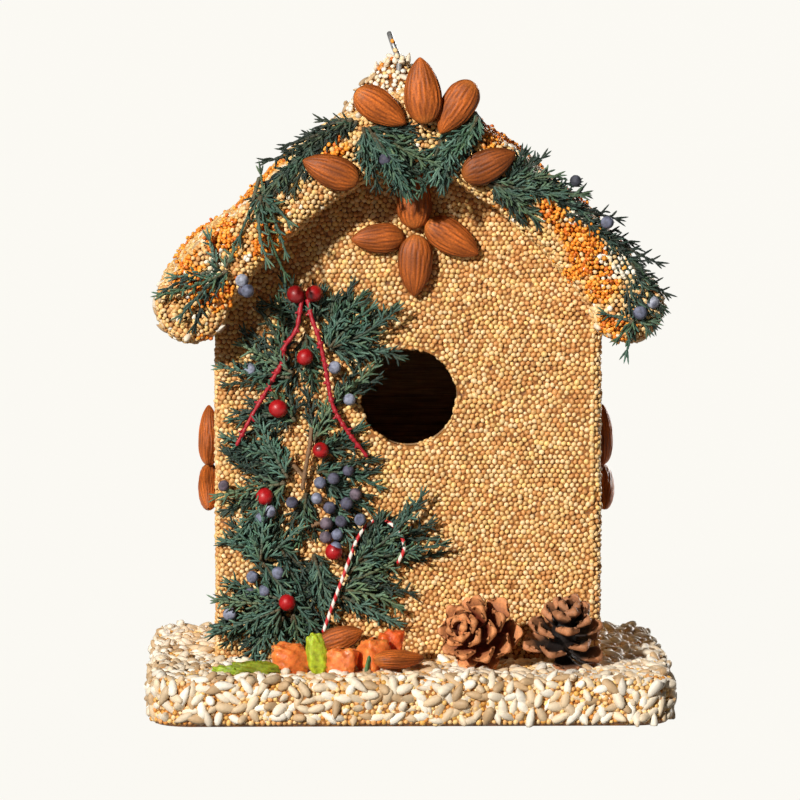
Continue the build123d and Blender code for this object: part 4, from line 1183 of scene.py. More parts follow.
def tube_faces(rings, around):
    """Quads of a closed-ended tube and the UV of every corner."""
    quads = ring_faces(rings, around)
    ring = np.arange(rings - 1)[:, None]
    step = np.arange(around)[None, :]
    low, high = ring / (rings - 1), (ring + 1) / (rings - 1)
    left, right = step / around, (step + 1) / around
    corners = [
        np.stack(np.broadcast_arrays(u, v), axis=-1)
        for u, v in ((left, low), (right, low), (right, high), (left, high))
    ]
    return quads, np.stack(corners, axis=2).reshape(-1, 2)


def smooth_path(points, samples):
    """A curve through points, evenly spread (a Catmull-Rom spline)."""
    points = np.array(points, dtype=float)
    ends = np.concatenate([[2 * points[0] - points[1]], points, [2 * points[-1] - points[-2]]])
    curve = []
    for a, b, c, d in zip(ends, ends[1:], ends[2:], ends[3:]):
        slope, bend, twist = c - a, 2 * a - 5 * b + 4 * c - d, 3 * b - a - 3 * c + d
        for t in np.linspace(0, 1, 16, endpoint=False):
            curve.append(0.5 * (2 * b + slope * t + bend * t**2 + twist * t**3))
    curve.append(points[-1])
    curve = np.array(curve)
    run = np.concatenate([[0], np.cumsum(np.linalg.norm(np.diff(curve, axis=0), axis=1))])
    spread = np.linspace(0, run[-1], samples)
    return np.stack([np.interp(spread, run, curve[:, axis]) for axis in range(3)], axis=1)


def tube(points, radius, samples, around=10):
    """A round stick along a curve. The radius may change from sample to sample; the ends
    close to a point."""
    line = smooth_path(points, samples)
    radii = np.broadcast_to(radius, (samples,)).copy()
    radii[[0, -1]] *= 0.05
    along = unit(np.gradient(line, axis=0))
    side = unit(np.cross(along[0], [0.3, 0.5, 0.81]))
    turns = whole_turn(around)
    rings = []
    for point, direction, r in zip(line, along, radii):
        side = unit(side - direction * np.dot(side, direction))
        other = np.cross(direction, side)
        rings.append(point + r * (np.cos(turns)[:, None] * side + np.sin(turns)[:, None] * other))
    quads, uvs = tube_faces(samples, around)
    return np.concatenate(rings), quads, uvs


# -------------------- almonds

ALMOND_LENGTH, ALMOND_WIDTH, ALMOND_THICKNESS = 24.0, 13.4, 8.4


def stick(name, points, radius, samples, around, colour, material, replaces=()):
    """A tube in one colour as a piece of its own."""
    verts, quads, uvs = tube(points, radius, samples, around)
    joined(name, [(verts, quads, colour, uvs)], material, replaces)


def almond_width(share):
    """Half the almond's width along its length, one at its broadest."""
    place = share - 0.5
    blunt = np.sqrt(np.clip(1 - ((place + 0.14) / 0.365) ** 2, 0, 1))
    sharp = np.clip(1 - (np.clip(place + 0.14, 0, None) / 0.645) ** 2.2, 0, 1) ** 0.78
    return np.where(place < -0.14, blunt, sharp)


def almond_ridge(t, a, phase):
    """The skin's ridges at shares along the almond and angles round it."""
    wander = 0.35 * np.sin(5 * t + phase[0]) + 0.2 * np.sin(11 * t + 2 * a + phase[1])
    ridge = np.sin(18 * a + wander * 4 + phase[2]) + 0.7 * np.sin(25 * a - wander * 5 + phase[3])
    return ridge + 0.35 * np.sin(37 * a + 7 * wander)


def almond_colour(t, a, ridge, phase):
    """Blotched skin, pale at the blunt end, darkened in its grooves and round its rim as painted shade, and
    a little lighter over its faces as painted light.
    """
    # The grooves are darkened as painted shade in the creases
    groove = np.clip(0.5 - 0.5 * ridge / 1.5, 0, 1)[..., None] ** 1.7
    first, second = np.sin(3 * a + 4 * t + phase[0]), np.sin(2 * a - 7 * t + phase[1])
    blotch = 0.5 + 0.5 * first[..., None] * second[..., None]
    end = np.clip((0.16 - t) / 0.16, 0, 1)[..., None]
    skin, dark, pale = palette((204, 108, 42), (98, 44, 20), (222, 136, 64))
    colour = skin * (0.66 + 0.62 * blotch) * (1 - 0.72 * groove) + dark * 0.72 * groove
    # Painted shade round the rim and painted light over the faces, by the angle round the almond
    rim = 0.58 + 0.5 * np.abs(np.sin(a))[..., None]
    return (colour * (1 - 0.5 * end) + pale * 0.5 * end) * rim


def almond(face, u, v, turn, scale=1.0, out=0.0, tip_up=0.0, painted_shade_tone=1.0):
    """A shelled almond: pointed at one end, round at the other, its skin in fine ridges
    that meet at both ends."""
    rings, around = 48, 120
    phase = rng.uniform(0, 6.28, 4)
    share = 0.5 - 0.5 * np.cos(np.linspace(0.03, np.pi - 0.03, rings))
    t, a = np.meshgrid(share, whole_turn(around), indexing="ij")
    ridge = almond_ridge(t, a, phase)
    swell = 1 + 0.022 * ridge * np.sin(np.pi * np.clip(t, 0, 1)) ** 0.5
    w = almond_width(share)[:, None]
    x = (t - 0.5) * ALMOND_LENGTH * scale
    y = np.cos(a) * w * ALMOND_WIDTH / 2 * swell * scale
    flat = np.sign(np.sin(a)) * np.abs(np.sin(a)) ** 0.9
    z = flat * w**0.85 * ALMOND_THICKNESS / 2 * swell * scale
    local = np.stack([x, y, z], axis=2).reshape(-1, 3)
    if tip_up:
        c, s = math.cos(math.radians(tip_up)), math.sin(math.radians(tip_up))
        local = local @ np.array([[c, 0, s], [0, 1, 0], [-s, 0, c]])
    local[:, 2] += ALMOND_THICKNESS / 2 * scale * 0.92
    verts = face.spot(u, v, out) + local @ face.turned(turn).T
    # A tone under one darkens an almond that lies in shadow: painted shade
    colour = almond_colour(t, a, ridge, phase) * painted_shade_tone
    quads, uvs = tube_faces(rings, around)
    return verts, quads, colour.reshape(-1, 3), uvs


def side_almonds(face, middle, height=88.0, reach=14.0):
    """Three almonds on a side wall, their tips pointing away from each other."""
    nuts = []
    for turn in (90, 210, 330):
        angle = math.radians(turn)
        u, v = middle + reach * math.cos(angle), height + reach * math.sin(angle)
        nuts.append(almond(face, u, v, turn))
    return nuts


def almonds():
    """Every almond, node by node."""
    u, v = 2.0, 185.6
    # Tones under one are painted shade on almonds that lie in shadow
    groups = {
        "gable_almonds": [
            almond(GABLE, u, v + 13.4, 90.0, painted_shade_tone=0.8),
            almond(GABLE, u + 0.4, v - 13.0, -92.0, painted_shade_tone=0.68),
            almond(GABLE, u - 14.2, v - 2.4, 182.0, 0.86, tip_up=8.0, painted_shade_tone=0.7),
            almond(GABLE, u + 14.8, v - 2.4, -31.0, 0.98, painted_shade_tone=0.85),
        ],
        "ridge_almonds": [
            almond(ROOF_END, -11.4, ROOF_APEX - 6.0, -33.0, 0.96, tip_up=-4.0),
            almond(ROOF_END, 4.6, ROOF_APEX + 0.6, 95.0, 1.06, out=2.2, painted_shade_tone=0.92),
            almond(ROOF_END, 17.6, ROOF_APEX - 6.0, 237.0, 0.98, painted_shade_tone=0.85),
        ],
        "verge_almonds": [
            almond(ROOF_END, -30.6, 210.3, 159.0, 0.95, painted_shade_tone=0.7),
            almond(ROOF_END, 30.2, 212.6, 25.0, 0.93, painted_shade_tone=0.5),
        ],
        "base_almonds": [
            almond(GABLE, -26.6, BASE_TOP + 10.4, 20.0, 0.76, out=8.0, painted_shade_tone=0.75),
            almond(BASE, -4.7, APRON_MIDDLE - 8.5, 14.0, 0.84, out=2.6),
        ],
        "left_side_almonds": side_almonds(LEFT, -HANGER_Y),
        "right_side_almonds": side_almonds(RIGHT, HANGER_Y),
    }
    for name, nuts in groups.items():
        joined(f"{name}_skins", nuts, "almond", (name,))


# -------------------- juniper

# A twiglet of scale leaves along X, thick at the root and pointed, paler toward its tip
NEEDLE = template(
    [(0, 0), (0.03, 0.8), (0.2, 1.0), (0.26, 0.84), (0.48, 0.96), (0.54, 0.76), (0.78, 0.66), (1.0, 0)], 5
)
NEEDLE = (NEEDLE[0][:, [2, 0, 1]], NEEDLE[1])
NEEDLE_SHADE = 0.7 + 0.75 * NEEDLE[0][:, :1] ** 1.5 * np.array([0.9, 1.0, 1.06])
LEAF_TINTS = palette(
    (78, 112, 98), (60, 96, 80), (96, 128, 112), (66, 100, 68), (50, 82, 72), (104, 126, 92),
)
STEM_TINT = np.array(linear(92, 80, 56))
# Sprays that spread less than this have no darker ones, painted shade, under them
THIN_SPRAY = 4.0


def leafy_branch(rods, root, turn, lift, reach, way, leaf_tint):
    """Adds a branchlet, and forward-pointing twiglets turn about along its edges."""
    branch = way(turn, lift)
    rods.append((root, branch, reach * 1.1, 0.58, leaf_tint()))
    spot, side = 1.3, 1
    while spot < reach:
        fork = turn + side * math.radians(rng.uniform(16, 36))
        size = rng.uniform(3.0, 5.8) * (1 - 0.35 * spot / reach)
        direction = way(fork, lift + rng.normal(0, 0.3))
        rods.append((root + branch * spot, direction, size, rng.uniform(0.42, 0.58), leaf_tint()))
        spot += 1.75
        side = -side


def grow_spray(rods, face, u, v, heading, length, spread, out, painted_shade_tone):
    """Adds a flat juniper spray to the rods: a bending stem with leafy branchlets turn
    about. A rod is a start, a direction, a length, a radius and a colour."""
    across, up, outward = face.axes
    angle = math.radians(heading)
    bend = rng.normal(0, 0.012)
    rise = rng.normal(0.05, 0.05)
    here = face.spot(u, v, out)
    # A tone under one darkens the whole spray: painted shade where it lies in shadow
    spray_tint = LEAF_TINTS[rng.integers(0, len(LEAF_TINTS))] * painted_shade_tone

    def way(turn, lift):
        vector = across * math.cos(turn) + up * math.sin(turn) + outward * lift
        return vector / np.linalg.norm(vector)

    def leaf_tint():
        own = LEAF_TINTS[rng.integers(0, len(LEAF_TINTS))] * painted_shade_tone
        return (0.5 * spray_tint + 0.5 * own) * rng.uniform(0.7, 1.25)

    step, run, side = 2.2, 0.0, 1
    while run < length:
        share = run / length
        ahead = way(angle, rise)
        woody = STEM_TINT * (1 - share) ** 2 + spray_tint * (1 - (1 - share) ** 2)
        rods.append((here, ahead, step * 1.6, 0.85 - 0.3 * share, woody))
        reach = spread * (1.15 - 0.75 * share) * rng.uniform(0.65, 1.2)
        turn = angle + side * math.radians(rng.uniform(20, 40))
        leafy_branch(rods, here, turn, rng.normal(0.15, 0.28), reach, way, leaf_tint)
        here = here + ahead * step
        angle += bend * step
        run += step
        side = -side
    for fork in (-22, 0, 20):
        direction = way(angle + math.radians(fork), rise + rng.normal(0, 0.15))
        rods.append((here, direction, rng.uniform(3.6, 6.0), 0.5, leaf_tint()))


def juniper(name, face, sprays, replaces, under):
    """A piece of juniper from (u, v, heading, length, spread, out, tone) sprays, each
    but the thinnest over two darker ones that lie closer to the surface, painted as shade
    under it."""
    rods = []
    for u, v, heading, length, spread, out, painted_shade_tone in sprays:
        grow_spray(rods, face, u, v, heading, length, spread, out, painted_shade_tone)
        for side in (-1, 1) if spread >= THIN_SPRAY else ():
            # The sprays beneath are darker copies: painted shade under the top spray
            low, dark = min(out, under), painted_shade_tone * 0.34
            aside = heading + side * rng.uniform(8, 26)
            grow_spray(rods, face, u, v, aside, length * 0.9, spread, low, dark)
    places, ways, lengths, radii, tints = (np.array(column) for column in zip(*rods))
    side = unit(np.cross(ways, [0.2, 0.31, 0.93]))
    axes = np.stack([ways, side, np.cross(ways, side)], axis=2)
    sizes = np.column_stack([lengths, radii, radii])
    verts, tris, colour, uvs = copies(NEEDLE, places, axes, sizes, tints, NEEDLE_SHADE)
    piece(name, new_mesh(name, verts, [tris], colour, uvs), "juniper", replaces)


# Sprays by CAD node: (u, v, heading, length, spread, out, tone). The last darkens a spray that lies in
# shadow: painted shade
GARLAND = {
    "juniper_front_upper": [
        (-32, 141, 72, 19, 6.2, 4.3, 1), (-31, 141, 48, 21, 6.6, 5.8, 1),
        (-30, 141, 19, 28, 7.6, 5.1, 1), (-31, 140, -3, 19, 6.6, 2.9, 0.8),
        (-36, 151, 80, 11, 5.7, 3.6, 0.9), (-29, 152, 40, 13, 5.7, 2.1, 0.8),
        (-28, 119, 46, 18, 6.6, 3.6, 1), (-45, 131, 150, 21, 7.6, 5.1, 1),
        (-46, 129, 172, 25, 6.6, 3.6, 0.9), (-48, 138, 95, 19, 5.7, 2.1, 0.75),
        (-42, 150, 118, 17, 5.7, 2.9, 0.8), (-40, 146, -85, 19, 7.6, 2.9, 0.85),
    ],
    "juniper_front_middle": [
        (-47, 90, 122, 24, 7.6, 5.1, 1), (-45, 94, 152, 27, 7.6, 3.6, 1),
        (-48, 88, 188, 25, 7.6, 5.1, 1), (-50, 86, 226, 24, 7.6, 4.3, 1),
        (-37, 104, 68, 19, 6.6, 4.3, 0.95), (-35, 100, 24, 17, 5.7, 2.9, 0.9),
        (-44, 112, 128, 19, 6.6, 3.6, 0.9), (-46, 115, 185, 21, 6.6, 2.1, 0.85),
        (-36, 92, 6, 23, 5.7, 3.6, 0.95), (-34, 88, -22, 19, 5.7, 2.1, 0.85),
        (-40, 84, -95, 17, 5.7, 2.1, 0.85), (-30, 78, -60, 15, 5.7, 2.1, 0.85),
    ],
    "juniper_front_lower": [
        (-20, 58, 31, 34, 7.6, 5.8, 1), (-20, 57, 14, 32, 6.6, 4.3, 0.95),
        (-18, 60, 56, 15, 5.7, 2.9, 0.9), (-24, 52, 44, 25, 7.6, 3.6, 1.05),
        (-24, 49, 20, 25, 7.6, 2.9, 1.05), (-26, 46, -2, 21, 6.6, 3.6, 1.05),
        (-27, 44, -24, 23, 6.6, 4.3, 0.95), (-58, 58, 82, 17, 6.6, 5.8, 1.1),
        (-57, 57, 114, 15, 6.6, 4.3, 1.1), (-56, 58, 44, 16, 5.7, 4.3, 1.05),
        (-58, 62, 166, 13, 5.7, 2.9, 1), (-57, 57, -52, 27, 5.7, 4.3, 0.95),
        (-50, 63, -66, 28, 6.6, 2.9, 0.9), (-50, 41, 178, 24, 6.6, 6.6, 0.95),
        (-50, 39, 200, 26, 7.6, 7.3, 0.95), (-50, 37, 222, 25, 7.6, 6.6, 0.9),
        (-49, 36, 248, 19, 6.6, 5.8, 0.9), (-47, 41, 156, 23, 6.6, 5.1, 0.95),
        (-45, 37, -78, 17, 5.7, 5.8, 0.9), (-43, 39, -52, 23, 6.6, 5.1, 0.85),
        (-37, 60, -76, 23, 6.6, 3.6, 0.9), (-34, 57, -104, 23, 6.6, 2.9, 0.85),
    ],
}

ROOF_SPRAYS = {
    "juniper_ridge": [
        (-16, 227, -63, 24, 8, 3.0, 1.0), (-14, 225, -58, 25, 8, 4.0, 1.0),
        (-18, 227, -78, 16, 7, 2.0, 0.9), (-10, 224, -42, 20, 8, 3.0, 1.0),
        (-12, 227, -24, 11, 6, 1.5, 0.8), (-5, 222, -82, 19, 7, 2.0, 0.9),
        (25, 233, -117, 21, 7, 3.0, 1.0), (22, 229, -123, 22, 8, 2.0, 0.95),
        (26, 231, -118, 13, 7, 4.0, 1.0), (12, 222, -112, 18, 7, 1.5, 0.9),
        (18, 222, -112, 16, 7, 1.5, 0.9),
    ],
    "juniper_left_slope": [
        (-20, 229, -161, 14, 4, -1.0, 0.6), (-25, 227, -147, 16, 4, -1.0, 0.6),
        (-32, 223, -137, 17, 4, -1.0, 0.6), (-38, 218, -133, 15, 4, 0.0, 0.7),
        (-57, 201, -126, 17, 2.2, 2.0, 0.85), (-57, 201, -102, 24, 3.0, 3.5, 0.95),
        (-57, 201, -84, 29, 3.0, 3.0, 0.95), (-56, 200, -64, 20, 3.0, 3.0, 1.0),
        (-56, 201, -44, 13, 2.6, 2.0, 1.0), (-56, 198, 96, 9, 2, 1.0, 0.7),
        (-50, 206, -135, 10, 4, 0.5, 0.6), (-22, 230, -150, 18, 4, 0.0, 0.45),
        (-30, 226, -140, 18, 4, 0.0, 0.45), (-38, 220, -138, 18, 4, 0.0, 0.5),
        (-45, 213, -134, 12, 4, 0.0, 0.55),
    ],
    "juniper_left_eave": [
        (-70, 172, -152, 25, 4.4, 3.0, 1.0), (-72, 171, -140, 21, 3.9, 1.5, 0.95),
        (-74, 172, -168, 14, 3.9, 1.0, 1.0), (-74, 173, 108, 9, 3, 1.5, 1.0),
        (-71, 173, 62, 6, 3, 1.5, 0.9),
    ],
    "juniper_right_slope": [
        (35, 205, -15, 20, 7, 2.5, 0.85), (32, 206, -36, 18, 7, 2.0, 0.85),
        (38, 206, 9, 16, 6, 1.0, 0.8), (38, 206, 59, 10, 5, 0.5, 0.75), (41, 205, -14, 22, 6, 2.5, 0.8),
        (30, 205, -19, 12, 6, 1.5, 0.8), (51, 202, -25, 17, 5, 1.0, 0.7),
    ],
    "juniper_right_eave": [
        (60, 198, -42, 20, 5, -1.5, 0.4), (69, 191, -43, 18, 5, -1.5, 0.4),
        (77, 184, -54, 20, 5, -1.5, 0.4), (84, 177, -63, 20, 5, -1.5, 0.4),
        (86, 173, -76, 19, 5, -1.0, 0.5), (83, 170, -71, 13, 4, 0.5, 0.75),
        (86, 152, 164, 9, 3, 2.0, 0.9), (86, 152, -102, 9, 3, 2.0, 0.9), (86, 152, 0, 5, 3, 1.0, 0.8),
        (86, 153, -131, 7, 3, 2.5, 0.9), (87, 160, -71, 10, 4, 1.0, 0.8),
    ],
}


def brown_stems():
    """The woody stems that show between the sprays."""
    runs = [
        [(-37.8, 110, 4.5), (-38.6, 103, 5.2), (-40.0, 95, 5.0), (-41.6, 85, 3.6)],
        [(-58.0, 97.5, 3.0), (-52.0, 99.0, 4.0), (-46.0, 96.0, 4.2), (-40.5, 90.0, 4.0)],
        [(-38.0, 71.0, 3.2), (-34.0, 72.5, 3.6), (-30.0, 71.0, 3.4)],
    ]
    samples, parts = 40, []
    for run in runs:
        radius = 0.85 + 0.12 * np.sin(np.arange(samples) * 0.9) + rng.normal(0, 0.05, samples)
        verts, quads, uvs = tube(GABLE.spots(run), radius, samples)
        parts.append((verts, quads, linear(128, 98, 70), uvs))
    joined("garland_stems", parts, "stem")
    end = ROOF_END.spots([(-57.8, 208.0, -1.5), (-58.9, 204.0, -1.0), (-60.4, 198.5, -0.5)])
    stick("roof_stem", end, 0.8, 16, 10, linear(96, 92, 72), "stem")


# -------------------- berries

BALL = template([(math.cos(a) * -1.0, math.sin(a)) for a in np.linspace(0, math.pi, 11)], 14)


def balls(name, face, spots, diameter, squash, tints, material, replaces, shade):
    """Round fruit on a face at (u, v, out). The slot has the material's name."""
    count = len(spots)
    axes = frames_on(unit(rng.normal(0, 1, (count, 3))), rng.uniform(0, 6.28, count), np.zeros(count))
    sizes = diameter / 2 * np.array(squash) * rng.normal(1.0, 0.05, (count, 1))
    verts, tris, colour, uvs = copies(BALL, np.array(face.spots(spots)), axes, sizes, tints, shade)
    piece(name, new_mesh(name, verts, [tris], colour, uvs), material, replaces)


def red_berries():
    """Red berries down the garland, each darkened at its tip with the painted shade of a dimple."""
    spots = [
        (-43.9, 161.5, 4.5), (-36.8, 162.0, 6.5), (-40.4, 137.2, 5.5), (-50.8, 117.2, 5.5),
        (-34.3, 101.0, 6.0), (-56.2, 83.0, 5.5), (-29.3, 61.4, 6.0), (-47.4, 41.7, 8.0),
    ]
    # Painted shade of a dimple at each berry's tip
    painted_dimple_shade = shade_where(BALL[0][:, 2:3] > 0.93, [0.35, 0.25, 0.2])
    tints = palette((172, 14, 22)) * rng.uniform(0.85, 1.1, (len(spots), 1))
    # The first berry is darkened: painted shade, as it lies in shadow
    tints[0] *= 0.6
    nodes = ("red_berries",)
    balls("red_berry_skins", GABLE, spots, 6.9, (1.0, 1.0, 1.06), tints, "red_berry", nodes, painted_dimple_shade)


# -------------------- twigs and cane


def bloom_tints(count):
    """Tints for blue berries, from bare to thickly bloomed skin."""
    bloom = palette((140, 146, 168), (112, 118, 142), (168, 174, 192), (84, 84, 104), (104, 92, 104))
    return bloom[rng.integers(0, len(bloom), count)]


def blue_berries():
    """Blue juniper berries in bunches down the garland, and a few along the roof."""
    scar = shade_where(np.abs(BALL[0][:, 2:3]) > 0.93, [0.45, 0.45, 0.5])
    garland = [
        (-64.4, 164.0), (-61.7, 132.3), (-28.9, 133.1), (-23.1, 120.7), (-72.0, 87.2),
        (-57.5, 74.4), (-54.0, 77.1), (-45.5, 80.6), (-34.6, 88.2), (-29.3, 89.9),
        (-23.6, 92.8), (-35.9, 82.1), (-30.9, 78.4), (-24.3, 80.2), (-20.8, 83.6),
        (-19.0, 73.8), (-32.2, 72.4), (-26.4, 73.0), (-28.0, 67.9), (-32.4, 66.9),
        (-28.6, 63.0), (-69.8, 37.0), (-61.0, 51.4), (-56.4, 46.0), (-61.8, 45.4),
        (-51.0, 52.8),
    ]
    spots = [(u, v, rng.uniform(4.2, 6.4)) for u, v in garland]
    spots[0] = (-64.0, 164.5, 20.0)
    tints, nodes = bloom_tints(len(spots)), ("juniper_berries",)
    balls("juniper_berry_skins", GABLE, spots, 5.0, (1.0, 0.94, 0.98), tints, "blue_berry", nodes, scar)
    roof = [
        (-9.6, 214.6, 4.0), (63.6, 206.2, 0.0), (75.7, 190.3, 2.0), (88.4, 155.6, 3.0),
        (93.6, 159.4, 1.0), (-64.6, 168.3, 4.0), (-62.4, 164.4, 6.0),
    ]
    tints = bloom_tints(len(roof)) * 0.85
    tints[1] *= 0.25
    balls("roof_berry_skins", ROOF_END, roof, 5.2, (1.0, 0.96, 1.0), tints, "blue_berry", (), scar)


def twig_buds(line, red):
    """Small buds along a twig, pointing forward from either side in turn."""
    out = GABLE.axes[2]
    for index in range(3, 38, 4):
        turn = rng.uniform(-1, 1)
        foot = line[index]
        ahead = unit(line[index + 1] - line[index])
        aside = unit(np.cross(ahead, out)) * (1 if index % 8 == 3 else -1)
        tip = foot + aside * rng.uniform(1.4, 2.4) + ahead * rng.uniform(0.6, 1.6) + out * turn
        middle = (foot + tip) / 2 + ahead * 0.2
        bud, faces, uv = tube([foot, middle, tip], np.linspace(0.6, 0.42, 8), 8, 7)
        yield bud, faces, red * rng.uniform(0.8, 1.15), uv


def red_twigs():
    """Thin red twigs with small buds, tied under the eave and spreading downward."""
    runs = {
        "left": [
            (-41.6, 160.0, 4.5), (-42.6, 153.0, 6.0), (-44.0, 147.5, 6.6), (-48.4, 141.0, 6.0),
            (-49.2, 135.5, 5.6), (-55.8, 123.5, 6.0), (-61.0, 114.6, 6.2), (-67.2, 102.6, 5.4),
        ],
        "right": [
            (-39.4, 160.0, 4.5), (-37.6, 152.0, 6.4), (-35.2, 145.4, 7.0), (-33.0, 136.0, 6.6),
            (-31.4, 127.0, 6.2), (-29.4, 118.0, 6.0), (-24.2, 108.8, 6.0), (-16.0, 98.0, 4.6),
        ],
    }
    samples = 110
    red = np.array(linear(168, 24, 40))
    for side, run in runs.items():
        points = GABLE.spots(run)
        radius = 0.82 + 0.14 * np.sin(np.arange(samples) * 0.9) + rng.normal(0, 0.05, samples)
        radius[rng.integers(8, samples - 8, 14)] += 0.5
        radius *= np.linspace(1.12, 0.85, samples)
        verts, quads, uvs = tube(points, radius, samples)
        parts = [(verts, quads, red, uvs), *twig_buds(smooth_path(points, 40), red)]
        joined(f"red_twig_{side}_bark", parts, "twig", (f"red_twig_{side}",))


def candy_cane():
    """A thin striped cane, its crook at the top."""
    run = [
        (-33.6, 29.6, 7.5), (-29.6, 41.0, 7.2), (-24.8, 54.0, 6.4), (-20.6, 65.0, 4.6),
        (-16.6, 71.0, 2.6), (-12.0, 73.4, 2.4), (-7.0, 72.0, 4.4), (-3.0, 67.4, 6.6),
        (-2.0, 62.4, 7.4), (-4.6, 56.6, 7.0),
    ]
    points = GABLE.spots(run)
    stick("candy_cane_stick", points, 0.74, 150, 14, (1, 1, 1), "cane", ("candy_cane",))


# -------------------- dried fruit


def lump(u, v, turn, size, boxy, rough, tint, lean=0.0, out=0.2):
    """A dice of dried fruit on the base: a box with soft uneven faces, or rounder."""
    rings, around = 34, 52
    phase = rng.uniform(0, 6.28, 6)
    rise = np.linspace(-np.pi / 2 + 0.04, np.pi / 2 - 0.04, rings)
    a, b = np.meshgrid(rise, whole_turn(around), indexing="ij")

    def power(value):
        return np.sign(value) * np.abs(value) ** boxy

    x = power(np.cos(a)) * power(np.cos(b))
    y = power(np.cos(a)) * power(np.sin(b))
    z = power(np.sin(a))
    pits = np.sin(5 * x + phase[0]) * np.sin(4 * y + phase[1] + 2 * z)
    pits = pits + 0.6 * np.sin(9 * z + 7 * x + phase[2])
    pits += 0.6 * np.sin(13 * y + phase[3]) * np.sin(12 * x + phase[4]) * np.cos(11 * z + phase[5])
    grow = 1 + rough * pits
    half = np.array(size) / 2
    local = np.stack([x * grow * half[0], y * grow * half[1], z * grow * half[2]], axis=2).reshape(-1, 3)
    local[:, 0] += lean * local[:, 2]
    local[:, 2] += half[2]
    verts = BASE.spot(u, APRON_MIDDLE + v, out) + local @ BASE.turned(turn).T
    # The colour darkens in the pits and lightens on the bumps: painted shade and painted light on the relief
    shade = (1.0 + 0.24 * pits.reshape(-1, 1)) * np.array(tint)
    quads, uvs = tube_faces(rings, around)
    return verts, quads, shade, uvs


def dried_fruit():
    """Papaya dice and green slices at the foot of the garland, as (u, v from the apron's
    middle, turn, size, boxiness, roughness, tint, lean)."""
    orange, deep = linear(244, 122, 56), linear(232, 92, 36)
    papaya = [
        (-46.2, -8.0, 24.0, (14.0, 11.0, 12.0), 0.62, 0.08, orange, -0.22),
        (-26.9, -10.5, -14.0, (12.0, 9.0, 10.2), 0.56, 0.08, orange, 0.12),
        (-14.2, -4.0, 34.0, (12.0, 10.4, 12.8), 0.56, 0.08, orange, 0.1),
        (-8.2, 4.0, 12.0, (10.0, 7.4, 15.0), 0.56, 0.08, deep, 0.2),
        (-35.0, 3.0, 8.0, (11.0, 7.0, 7.6), 0.56, 0.08, deep, 0.0),
    ]
    dice = [lump(*spec) for spec in papaya]
    joined("papaya_dice", dice, "papaya", ("papaya_chunks",))
    lime, olive, pale, green = palette((168, 184, 40), (128, 140, 30), (150, 172, 44), (64, 110, 60))
    slices = [
        lump(-36.2, -11.5, 8.0, (7.6, 4.6, 16.0), 0.72, 0.07, lime, -0.10),
        lump(-60.0, -12.0, 10.0, (18.0, 6.0, 5.4), 0.7, 0.12, olive),
        lump(-71.5, -13.0, -10.0, (9.0, 3.8, 3.6), 0.7, 0.12, pale, out=0.4),
        lump(-16.4, -10.5, 60.0, (2.6, 1.6, 8.4), 0.8, 0.05, green, 0.5, out=0.6),
    ]
    joined("green_fruit_slices", slices, "green_fruit", ("green_fruit",))


# -------------------- pinecones


def cone_scale(length, width, thickness, dark, tip):
    """One woody scale along X: narrow at the root, broad and thick at its rounded end."""
    along, across = 11, 11
    s = np.linspace(0, 1, along)
    ss, tt = np.meshgrid(s, np.linspace(-1, 1, across), indexing="ij")
    outline = np.interp(s, [0, 0.3, 0.6, 0.8, 0.93, 1.0], [0.28, 0.42, 0.8, 1.0, 0.94, 0.62])
    half = outline[:, None] * width / 2
    x = ss * length * (1 - 0.2 * tt**2 * ss**3)
    y = tt * half
    cup = 0.13 * width * (tt**2) * ss - 0.09 * length * np.sin(np.pi * ss)
    thick = thickness * (0.45 + 0.75 * ss**2) * np.sqrt(np.clip(1 - 0.85 * tt**2, 0.03, 1))
    umbo = 0.5 * thickness * np.exp(-(((ss - 0.88) / 0.1) ** 2) - (tt / 0.4) ** 2)
    top = np.stack([x, y, cup + thick / 2], axis=2).reshape(-1, 3)
    bottom = np.stack([x, y, cup - thick / 2 - umbo], axis=2).reshape(-1, 3)
    cell = np.arange(along - 1)[:, None] * across + np.arange(across - 1)[None, :]
    upper = np.stack([cell, cell + across, cell + across + 1, cell + 1], axis=2).reshape(-1, 4)
    edge = np.concatenate(
        [
            np.arange(across - 1),
            np.arange(along - 1) * across + across - 1,
            (along - 1) * across + np.arange(across - 1, 0, -1),
            np.arange(along - 1, 0, -1) * across,
        ]
    )
    offset = along * across
    after = np.roll(edge, -1)
    rim = np.stack([edge, after, after + offset, edge + offset], axis=1)
    quads = np.concatenate([upper, upper[:, ::-1] + offset, rim])
    # Dark from the root to past the middle, light toward the end: the dark part is painted shade in the gaps
    # between scales
    light = np.clip((ss - 0.6) / 0.3, 0, 1)[..., None] * (1 - 0.2 * tt**2)[..., None]
    face = (np.array(dark) * (1 - light) + np.array(tip) * light).reshape(-1, 3)
    return np.concatenate([top, bottom]), quads, np.concatenate([face * 0.9, face])


def scale_axes(turn, lift, roll):
    """A scale's axes as rows, pointing out from the core, lifted and rolled."""
    level = math.cos(lift)
    along = np.array([math.cos(turn) * level, math.sin(turn) * level, math.sin(lift)])
    side = np.array([-math.sin(turn), math.cos(turn), 0.0])
    side = side * math.cos(roll) + np.cross(along, side) * math.sin(roll)
    return np.stack([along, side, np.cross(along, side)])


def scale_uvs(points, quads, size, cell, grid):
    """A scale's UVs in a cell of its own, the underside over the upper side."""
    flat = points[:, :2] / size + [0.0, 0.5]
    layer = np.repeat([0.0, 0.5], len(points) // 2)
    corner = np.column_stack([flat[:, 0], flat[:, 1] * 0.46 + layer])
    return (cell + 0.02 + corner[quads.ravel()] * 0.95) / grid


